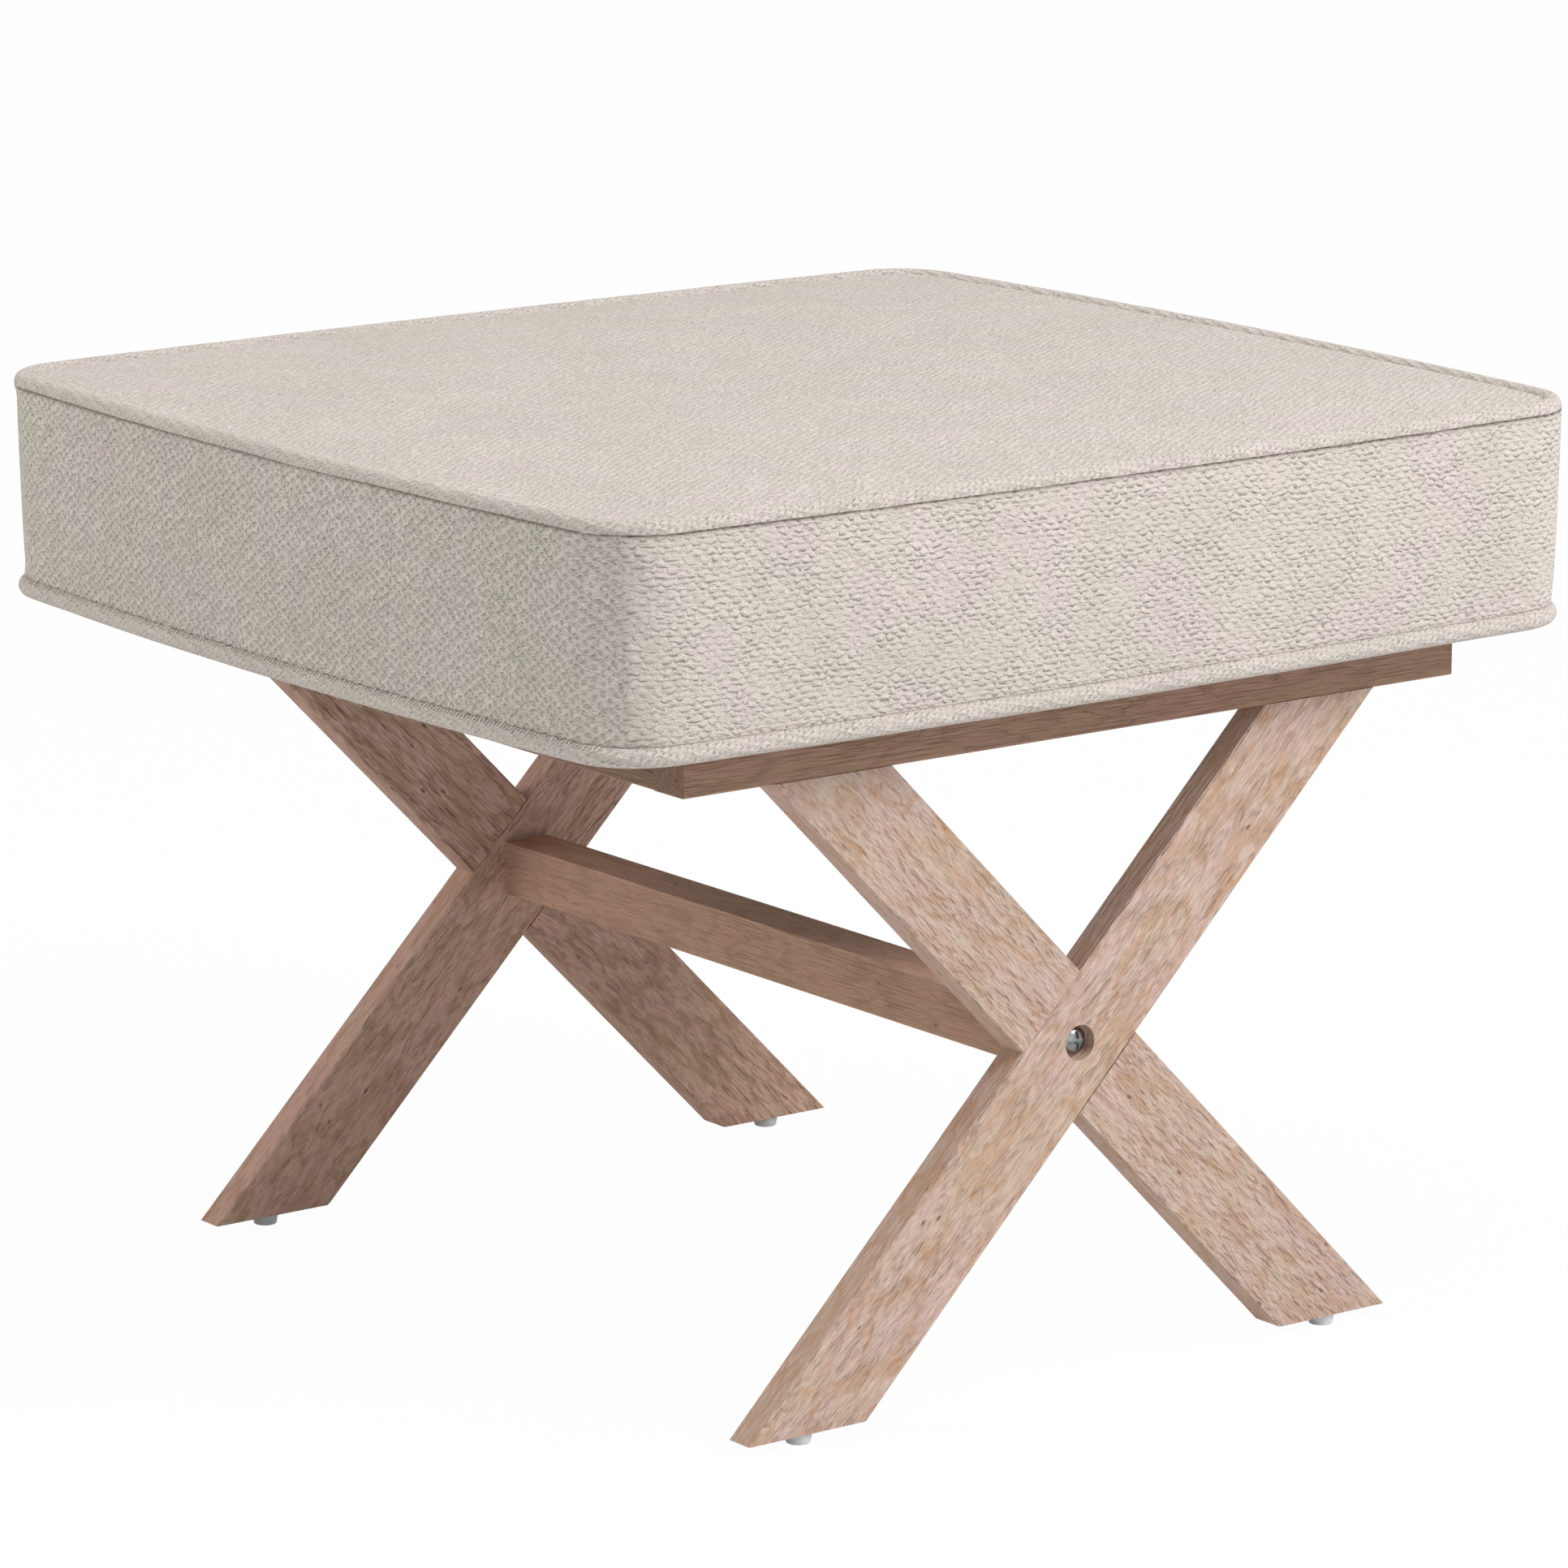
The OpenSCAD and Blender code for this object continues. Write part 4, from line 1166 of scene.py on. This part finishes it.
# %% Both rows of stitches
LEFT, ROW_SHARES = 3, np.linspace(0.02, 0.98, 160)
ALONG, UP = 0.55, np.array([0, 0, 1.0])
STITCH_ROWS = {  # offset and height, lean up and outwards, spacing, seed
    "closing_stitches": (2.75 * MM, 311.35 * MM, 0.62, -0.42, 2.2 * MM, 5),
    "panel_stitches": (-3.2 * MM, 401.6 * MM, 0.3, -0.9, 2.6 * MM, 9),
}
for name, (off, z, lean_up, lean_out, spacing, seed) in STITCH_ROWS.items():
    plan = side_points(LEFT, off, ROW_SHARES)
    run = np.gradient(plan, axis=0)
    run /= np.linalg.norm(run, axis=1)[:, None]
    zeros = np.zeros(len(run))
    outward = np.column_stack([run[:, 1], -run[:, 0], zeros])
    lean = np.column_stack([run, zeros]) * ALONG + UP * lean_up + outward * lean_out
    path = path_mesh(np.column_stack([plan, zeros + z]))
    path.attributes.new("lean", "FLOAT_VECTOR", "POINT").data.foreach_set("vector", lean.ravel())
    sewn = grown(
        name, path, stitch_row, Spacing=spacing, Stitch_length=2.7 * MM,
        Thread_radius=0.36 * MM, Unevenness=0.3, Seed=seed, Material=sewing_thread,
    )
    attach(sewn, "root")

# %% [markdown]
# ## Under the seat
# The cover is pulled round the seat board and stapled beneath it, and a thin dark cloth
# closes the underside. Both are flat sheets on the real stool, so they are thin closed
# meshes here: an upper and a lower face with a rim. Their flat sizes follow the outline,
# less an offset. The turned edge of the cover is a frame of rings, laid one in another.


def finish_sheet(name, points, faces, material):
    """Makes a thin sheet whose pattern lies in plan; gives the piece and its area."""
    made = mesh_piece(name, points, faces, points[faces.ravel(), :2])
    face_outwards(made.data)
    made.data.materials.append(material)
    area = sum(p.area for p in made.data.polygons) / 2
    print(f"{name}: {len(made.data.polygons)} faces, about {area:.4f} m2 of cloth")
    return made, area


TURNED_OFFS = np.array([-4.6, -9, -20, -35, -55, -74]) * MM
TURNED_Z, TURNED_T = 304.1 * MM, 1.15 * MM
loops = [ring(off, TURNED_Z) for off in TURNED_OFFS]
loops += [ring(off, TURNED_Z + TURNED_T) for off in TURNED_OFFS[::-1]]
turned_points = np.concatenate(loops)
turned_faces = ring_faces(len(loops)) % len(turned_points)
turned, turned_area = finish_sheet("turned_cover", turned_points, turned_faces, turned_cloth)
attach(turned, "root")
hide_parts("cover_turn_under")

# %% [markdown]
# ## Spunbonded cloth
# The thin black cloth under a seat isn't woven: fibres are pressed together at small dots.
# A product of two sines gives the grid of dots, and noise gives the fibres between them.
# An alpha pattern could let light through the cloth, but there is only wood behind it.

# %% Material: dust cloth
DOT_PITCH = 1.2
DARK_FIBRE, PALE_FIBRE, BOND = (0.022, 0.022, 0.024), (0.05, 0.05, 0.053), (0.014, 0.014, 0.016)
dust_cloth, tree = principled(
    "dust_cloth", Roughness=0.95, Specular_IOR_Level=0.2, Sheen_Weight=0.1
)
place = vector_math(tree, "MULTIPLY", pattern_place(tree, "UV"), (1000, 1000, 1000))
x, y, _ = split(tree, place)
dots = (x * (math.pi / DOT_PITCH)).math("SINE") * (y * (math.pi / DOT_PITCH)).math("SINE")
bonds = dots.math("ABSOLUTE").ramp(0.55, 0.9)
fibres = noise(tree, place, 1.4, 3)
colour = blend(tree, fibres.ramp(0.3, 0.7), DARK_FIBRE, PALE_FIBRE)
colour = blend(tree, bonds, colour, BOND)
finish_material(dust_cloth, colour, fibres * 0.5 - bonds, 0.2)

# %% [markdown]
# ## Hanging the dust cloth
# The cloth lies on the rails and sags between them. A cloth simulation would find that
# too, but the sag is under two millimetres, so a formula with a few shallow waves does it
# and always gives the same result. The sheet is two nets and a rim, closed all round.

# %% Dust cloth
DUST_OFF, DUST_Z, DUST_T, SAG = -13 * MM, 303.55 * MM, 0.5 * MM, 1.2
RAIL_X, RAIL_Y, SAG_RUN = 0.176, 0.182, 0.05


def dust_height(x, y):
    """Flat on the rails, and a millimetre or two lower between them, with shallow waves."""
    inside = np.clip((RAIL_X - np.abs(x)) / SAG_RUN, 0, 1)
    inside = inside * np.clip((RAIL_Y - np.abs(y)) / SAG_RUN, 0, 1)
    waves = 0.4 * np.sin(x * 31 + 1) * np.sin(y * 24) + 0.3 * np.sin((x + y) * 47)
    return DUST_Z - inside**2 * (3 - 2 * inside) * (SAG + waves) * MM


low = net(DUST_OFF, dust_height)
layer = low.shape[0] * low.shape[1]
index = np.arange(layer).reshape(low.shape[:2])
rim = net_border(index)
after = np.roll(rim, -1)
dust_points = np.concatenate([low.reshape(-1, 3), (low + [0, 0, DUST_T]).reshape(-1, 3)])
dust_faces = np.concatenate([
    net_faces(index, False), net_faces(index + layer, True),
    np.stack([rim, after, after + layer, rim + layer], 1),
])
dust, dust_area = finish_sheet("underside_cloth", dust_points, dust_faces, dust_cloth)
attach(dust, "root")
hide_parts("dust_cover")

# %% [markdown]
# ## Worn edges
# Wood, plastic and metal all look used first along their edges. The Bevel node gives the
# normal that a rounded edge would have; where it differs from the real normal, an edge is
# near. Noise breaks the line up, because nothing wears evenly.

# %% Group: worn edge
def worn_edge_group():
    ins = {"Vector": (0.0, 0.0, 0.0), "Radius": 0.001, "Patchiness": 0.5}
    tree, at = new_group("worn_edge", ins)
    rounded = add(tree, "ShaderNodeBevel", {"Radius": at["Radius"]}, samples=4).outputs[0]
    true = add(tree, "ShaderNodeNewGeometry").outputs["Normal"]
    match = add(tree, "ShaderNodeVectorMath", {0: rounded, 1: true}, operation="DOT_PRODUCT")
    edge = Wire(tree, match.outputs["Value"]).ramp(0.995, 0.86)
    patches = noise(tree, at["Vector"], 160, 2).ramp(0.3, 0.65)
    return close_group(tree, Wear=edge * (patches * at["Patchiness"] + 1 - at["Patchiness"]))


worn_edge = worn_edge_group()

# %% [markdown]
# ## Wood
# Every bar is cut from a log, and that is how the grain is drawn: growth rings round the
# board's own X axis, some centimetres off, bent by slow noise. A face that cuts the rings
# flat then shows wide arches, an edge shows straight lines, and an end shows arcs, all
# from one formula. The planed wood is fairly smooth between sparse dents that lie along
# the grain, which the light from one side draws with a dark and a bright rim, and it has a
# few dark pores, soft pink and yellow patches and orange stains that follow slow contour
# lines. Sizes inside the group are in millimetres.

# %% Group: wood grain
def wood_grain_group():
    tree, at = new_group("wood_grain", {
        "Vector": (0.0, 0.0, 0.0), "Ring width": 5.0, "Dent scale": (0.09, 0.9, 0.42), "Pores": 1.0,
    })
    place = vector_math(tree, "MULTIPLY", at["Vector"], (1000, 1000, 1000))

    # rings, dark only in their last, late part
    slow = stretched_noise(tree, place, (0.012, 0.03, 0.03), 2) - 0.5
    ripple = stretched_noise(tree, place, (0.05, 0.25, 0.25), 3, 0.6) - 0.5
    _, y, z = split(tree, place)
    radius = (y * y + z * z).math("SQRT") + slow * 26 + ripple * 4
    lap = (radius / at["Ring width"]).math("FRACT")
    late = stretched_noise(tree, place, (0.03, 0.12, 0.12), 1).ramp(0.4, 0.6)
    dark_ring = lap.ramp(0.87, 0.975) * lap.ramp(1.0, 0.98) * late

    # stains between the contour lines of the slow noise
    bands = ((slow + ripple * 0.12) * 7).math("FRACT")
    stain = bands.ramp(0.5, 0.85) * bands.ramp(1.0, 0.88)

    # dents, and the strands of fibre that the plane has torn
    cells = vector_math(tree, "MULTIPLY", place, at["Dent scale"])
    wave = noise(tree, cells, 1, 2)
    strand = stretched_noise(tree, cells, (1.6, 2.2, 2.2), 2)
    mixed = wave * 0.75 + strand * 0.25
    torn = stretched_noise(tree, place, (0.025, 0.07, 0.07), 1).ramp(0.3, 0.6, 0.7, 1.05)
    dent = mixed.ramp(0.48, 0.68) * torn
    swelling = mixed.ramp(0.5, 0.34) * torn
    fibre = stretched_noise(tree, place, (0.18, 1.5, 1.5), 2) - 0.5

    # pores and patches of colour
    spots = vector_math(tree, "MULTIPLY", place, (0.04, 0.1, 0.1))
    spots = add(tree, "ShaderNodeTexVoronoi", {"Vector": spots, "Scale": 1.0}).outputs["Distance"]
    pore = Wire(tree, spots).ramp(0.075, 0.03) * at["Pores"]
    patch = stretched_noise(tree, place, (0.022, 0.055, 0.055), 3).ramp(0.34, 0.66)
    height = strand * 0.3 + fibre * 0.35 + swelling * 0.6 - dent * 0.9 - pore * 0.8
    streak = (strand * 0.5 + fibre).ramp(-0.05, 0.55)
    return close_group(
        tree, Ring=dark_ring, Dent=dent, Streak=streak, Pore=pore, Patch=patch, Stain=stain,
        Height=height,
    )


wood_grain = wood_grain_group()

# %% [markdown]
# ## The colours of a board
# A board starts as patches of yellow and pink. Streaks, dents, stains, rings and pores are
# laid over them, each with its own strength; the dents are painted darker, as painted shade.
# The material also looks at the direction of a face, in the stool's own axes, and multiplies
# the colour there: painted shade on the narrow sides of the legs, and painted light on the
# top of the stretcher. Each board gets its own turn and shift from a Mapping node, so no two
# look the same.

# %% Material: wood
RING_SHARE, PORE_SHARE, WEAR_SHARE, WEAR_TONE, SIDE_RELIEF = 0.85, 0.7, 0.2, 1.12, 0.18


def facing(tree, axis):
    """How far a face looks along one of the stool's axes, from -1 to 1."""
    return split(tree, add(tree, "ShaderNodeTexCoord").outputs["Normal"])["XYZ".index(axis)]


def wood_material(name, tones, turn, shift, look, narrow_shade=None, top_light=None):
    """Tones are yellow, pink, dent, ring and pore; turn brings X along the grain."""
    yellow, pink, dent_shade_tone, ring_tone, pore_tone = tones
    dents, ring_width, depth, stain, streak = look
    material, tree = principled(name, Specular_IOR_Level=0.14)
    turn, shift = tuple(math.radians(a) for a in turn), tuple(v * MM for v in shift)
    board = pattern_place(tree, "Object", shift, turn)
    grain = use_group(tree, wood_grain, Vector=board, Ring_width=ring_width, Dent_scale=dents)
    colour = blend(tree, grain["Patch"], yellow, pink)
    colour = blend(tree, grain["Streak"] * -1 + 1, colour, streak, "MULTIPLY")
    # dents are painted darker: painted shade
    for label, share, tone in (
        ("Dent", stain, dent_shade_tone), ("Stain", stain, ring_tone),
        ("Ring", RING_SHARE, ring_tone), ("Pore", PORE_SHARE, pore_tone),
    ):
        colour = blend(tree, grain[label] * share, colour, tone)
    height = grain["Height"]
    # painted shade on the legs' narrow sides
    if narrow_shade:
        share = facing(tree, "Y").math("ABSOLUTE").ramp(0.6, 0.4)
        colour = blend(tree, share, colour, narrow_shade, "MULTIPLY")
        height = height * share.ramp(0, 1, 1.0, SIDE_RELIEF)
    # painted light on faces that look up
    if top_light:
        colour = blend(tree, facing(tree, "Z").ramp(0.4, 0.6), colour, top_light, "MULTIPLY")
    wear = use_group(tree, worn_edge, Vector=board, Radius=1.1 * MM, Patchiness=0.7)["Wear"]
    colour = blend(tree, wear * WEAR_SHARE, colour, toned(pink, WEAR_TONE))
    finish_material(material, colour, height, depth, height.ramp(-1, 1, 0.8, 0.62))
    return material


print("wood is coloured by", wood_grain.name, "and", worn_edge.name)

# %% [markdown]
# ## The tones of the boards
# Wood from one log still differs from board to board, and painted light and shade do the
# rest: the front legs are paler than the rails, whose tones are partly painted shade of the
# seat, and the back legs are painted paler than the front ones, as painted light under the
# seat. One set of tones for all would look like plastic, so each kind of board has five: its
# yellow and its pink, and the darker ones of a dent, a ring and a pore. The narrow sides of
# the legs are painted darker, as painted shade, and the stretcher's top is painted paler, as
# painted light.

# %% Tones of the boards
LEG_TONES = (
    (0.556, 0.427, 0.34), (0.57, 0.423, 0.371), (0.37, 0.225, 0.152), (0.42, 0.25, 0.15),
    (0.159, 0.089, 0.056),
)
PALE_LEG_TONES = tuple(toned(tone, 1.07) for tone in LEG_TONES)
# the back legs' tones are painted paler, as painted light under the seat
PAINTED_LIGHT_BACK_TONES = (
    (0.68, 0.468, 0.352), (0.705, 0.454, 0.373), (0.329, 0.197, 0.137), (0.384, 0.224, 0.133),
    (0.164, 0.091, 0.059),
)
# the rails' tones are darker, partly the wood's own tone and partly painted shade of the seat
RAIL_TONES_WITH_SHADE = (
    (0.371, 0.241, 0.165), (0.385, 0.235, 0.177), (0.149, 0.089, 0.059), (0.204, 0.116, 0.074),
    (0.102, 0.06, 0.037),
)
STRETCHER_TONES = (
    (0.562, 0.364, 0.255), (0.582, 0.357, 0.268), (0.25, 0.146, 0.097), (0.312, 0.182, 0.112),
    (0.146, 0.083, 0.052),
)
DOWEL_TONES = (
    (0.72, 0.56, 0.36), (0.70, 0.53, 0.35), (0.60, 0.44, 0.26), (0.55, 0.39, 0.22),
    (0.35, 0.24, 0.13),
)
# painted shade on the legs' narrow sides, and painted light on the stretcher's top
NARROW_SIDE_SHADE, BACK_NARROW_SIDE_SHADE, PAINTED_TOP_LIGHT = (0.97, 0.93, 0.9), (0.85, 0.83, 0.84), (1.68, 1.66, 1.66)
# the deep streak is the grain's own, deepened as painted shade on the outer legs, whose relief the
# light along their grain hardly shows
STREAK, DEEP_STREAK_WITH_SHADE = (0.82, 0.79, 0.765), (0.74, 0.7, 0.67)
print("the stretcher's top is", PAINTED_TOP_LIGHT[0], "times as bright as its sides")

# %% [markdown]
# ## One board, one material
# Each bar comes from the solids, and only its material changes. A look says how deep and
# how long the dents are, how wide the rings and how strong the stains. A table gives each
# board its look, its tones, the turn that brings X along its grain, and the shift that
# places it in the log.

# %% Dress the wooden bars
def dress(material, *names):
    """Gives CAD solids a new material on the slots that they already have."""
    for name in names:
        for slot in solids[name].material_slots:
            slot.material = material


# dent scale, ring width, relief in mm, share of the stains, streak
OUTER = ((0.08, 0.6, 0.3), 6.5, 1.3, 0.5, DEEP_STREAK_WITH_SHADE)
INNER = ((0.13, 0.8, 0.44), 6.5, 1.0, 0.4, STREAK)
PLAIN = ((0.035, 0.9, 0.8), 2.6, 0.3, 0.3, STREAK)
RISE, FALL, FLAT, DEEP, UPRIGHT = (0, 45.5, 0), (0, -45.5, 0), (0, 0, 0), (0, 0, -90), (0, 90, 0)
BOARDS = {  # look, tones, turn, shift in mm, and tones for sides that differ
    "front_leg_outer": (OUTER, PALE_LEG_TONES, RISE, (120, -58, 9), {"narrow_shade": NARROW_SIDE_SHADE}),
    "front_leg_inner": (INNER, LEG_TONES, FALL, (-340, -262, -21), {"narrow_shade": NARROW_SIDE_SHADE}),
    "back_leg_outer": (OUTER, PAINTED_LIGHT_BACK_TONES, FALL, (560, -147, 13), {"narrow_shade": BACK_NARROW_SIDE_SHADE}),
    "back_leg_inner": (INNER, PAINTED_LIGHT_BACK_TONES, RISE, (-710, -251, -17), {"narrow_shade": BACK_NARROW_SIDE_SHADE}),
    "rail_front": (PLAIN, RAIL_TONES_WITH_SHADE, FLAT, (230, 170, -262), {}),
    "rail_back": (PLAIN, RAIL_TONES_WITH_SHADE, FLAT, (-420, -150, -330), {}),
    "rail_left": (PLAIN, RAIL_TONES_WITH_SHADE, DEEP, (300, -160, -255), {}),
    "rail_right": (PLAIN, RAIL_TONES_WITH_SHADE, DEEP, (-160, 150, -335), {}),
    "stretcher": (PLAIN, STRETCHER_TONES, DEEP, (60, 34, -117), {"top_light": PAINTED_TOP_LIGHT}),
    "corner_dowels": (PLAIN, DOWEL_TONES, DEEP, (0, 0, 0), {}),
    "leg_dowels": (PLAIN, DOWEL_TONES, UPRIGHT, (0, 0, 0), {}),
}
for name, (look, tones, turn, shift, sides) in BOARDS.items():
    dress(wood_material(name + "_wood", tones, turn, shift, look, **sides), name)
print("wooden bars dressed:", len(BOARDS))

# %% [markdown]
# ## Seat board
# Plywood is thin sheets glued crosswise, so its edge shows stripes. The height above the
# board's underside says which sheet a point is in, and every other sheet has its grain
# turned by a right angle.

# %% Material: plywood
BOARD_BOTTOM, VENEER = 305.3 * MM, 1.34 * MM
DARK_PLY, PALE_PLY = (0.50, 0.36, 0.20), (0.68, 0.53, 0.34)
CROSS_PLY, GLUE = (0.40, 0.27, 0.15), (0.17, 0.10, 0.05)
plywood, tree = principled("plywood", Roughness=0.7, Specular_IOR_Level=0.25)
place = pattern_place(tree, "Object", shift=(0, 0, -BOARD_BOTTOM))
x, y, z = split(tree, place)
sheets = z / VENEER
crossed = sheets.math("FLOOR").math("PINGPONG", 1.0)
first, second = (
    use_group(tree, wood_grain, Vector=at, Ring_width=6.0, Pores=0.6)["Height"]
    for at in (place, join(tree, y, x, z))
)
height = first + (second - first) * crossed
colour = blend(tree, height.ramp(-0.8, 0.6), DARK_PLY, PALE_PLY)
colour = blend(tree, crossed * 0.35, colour, CROSS_PLY)
colour = blend(tree, sheets.math("FRACT").ramp(0.1, 0.02) * 0.6, colour, GLUE)
finish_material(plywood, colour, height, 0.1)
dress(plywood, "seat_board")
board_low, board_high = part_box("seat_board")
print("plywood has", round((board_high[2] - board_low[2]) / VENEER), "sheets")

# %% [markdown]
# ## Metal
# The bolts are plated steel, a little uneven and rubbed bright at the edges of the cross
# recess. Tee nuts, staples, inserts and nails are zinc. One function makes both, each with
# its own values: cloudy noise changes the polish, fine scratches lie level, and the worn
# edges are brighter.

# %% Materials: plated steel and zinc
def metal_material(name, colour, edge_colour, roughness, grain_scale):
    material, tree = principled(name, Metallic=1.0)
    place = pattern_place(tree, "Object")
    cloud = noise(tree, place, grain_scale, 3)
    along = vector_math(tree, "MULTIPLY", place, (1, 1, 9))
    scratch = noise(tree, along, grain_scale * 3, 2)
    dull = blend(tree, cloud.ramp(0.3, 0.7), toned(colour, 0.93), colour)
    wear = use_group(tree, worn_edge, Vector=place, Radius=0.35 * MM, Patchiness=0.4)["Wear"]
    bright = blend(tree, wear * 0.7, dull, edge_colour)
    polish = cloud.ramp(0.2, 0.8, roughness * 0.9, roughness * 1.15)
    finish_material(material, bright, scratch, 0.004, polish)
    return material


bolt_steel = metal_material("bolt_steel", (0.25, 0.255, 0.25), (0.72, 0.73, 0.73), 0.25, 700)
zinc = metal_material("zinc_plate", (0.62, 0.64, 0.66), (0.82, 0.83, 0.85), 0.34, 500)
dress(bolt_steel, "bolt_front", "bolt_back", "seat_bolts")
dress(zinc, "tee_nuts", "staples", "stretcher_inserts", "glide_nails")
print("metal dressed")

# %% [markdown]
# ## Glides
# The glides are moulded nylon, which lets a little light in, so they have a small share of
# subsurface scattering. Near the floor they are scuffed: fine noise, stronger towards z =
# 0, makes them darker and rougher there.

# %% Material: nylon
NYLON, NYLON_EDGE, SCUFF = (0.60, 0.62, 0.64), (0.72, 0.73, 0.74), (0.38, 0.37, 0.35)
SCUFF_TOP = 2.2 * MM
nylon, tree = principled(
    "glide_nylon", Specular_IOR_Level=0.4, Subsurface_Weight=0.08, Subsurface_Radius=(0.002,) * 3
)
place = pattern_place(tree, "Object")
_, _, z = split(tree, place)
scuff = noise(tree, place, 900, 3).ramp(0.4, 0.7) * z.ramp(SCUFF_TOP, 0.0)
wear = use_group(tree, worn_edge, Vector=place, Radius=0.5 * MM, Patchiness=0.6)["Wear"]
colour = blend(tree, wear * 0.3, NYLON, NYLON_EDGE)
colour = blend(tree, scuff * 0.5, colour, SCUFF)
grit = noise(tree, place, 1500, 2)
finish_material(nylon, colour, grit, 0.02, scuff.ramp(0.0, 1.0, 0.42, 0.75))
dress(nylon, "glide_front_left", "glide_front_right", "glide_back_left", "glide_back_right")
print("glides dressed")

# %% [markdown]
# ## Finish
# The last step prints how much the finished model's box differs from the box of the
# solids, so that the two can be compared.

# %% Sizes and finish
visual_box = [list(corner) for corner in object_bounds()]
growth = np.round((np.array(visual_box) - cad_box) * 1000, 1).tolist()
print("visual box minus solid box, mm:", growth)
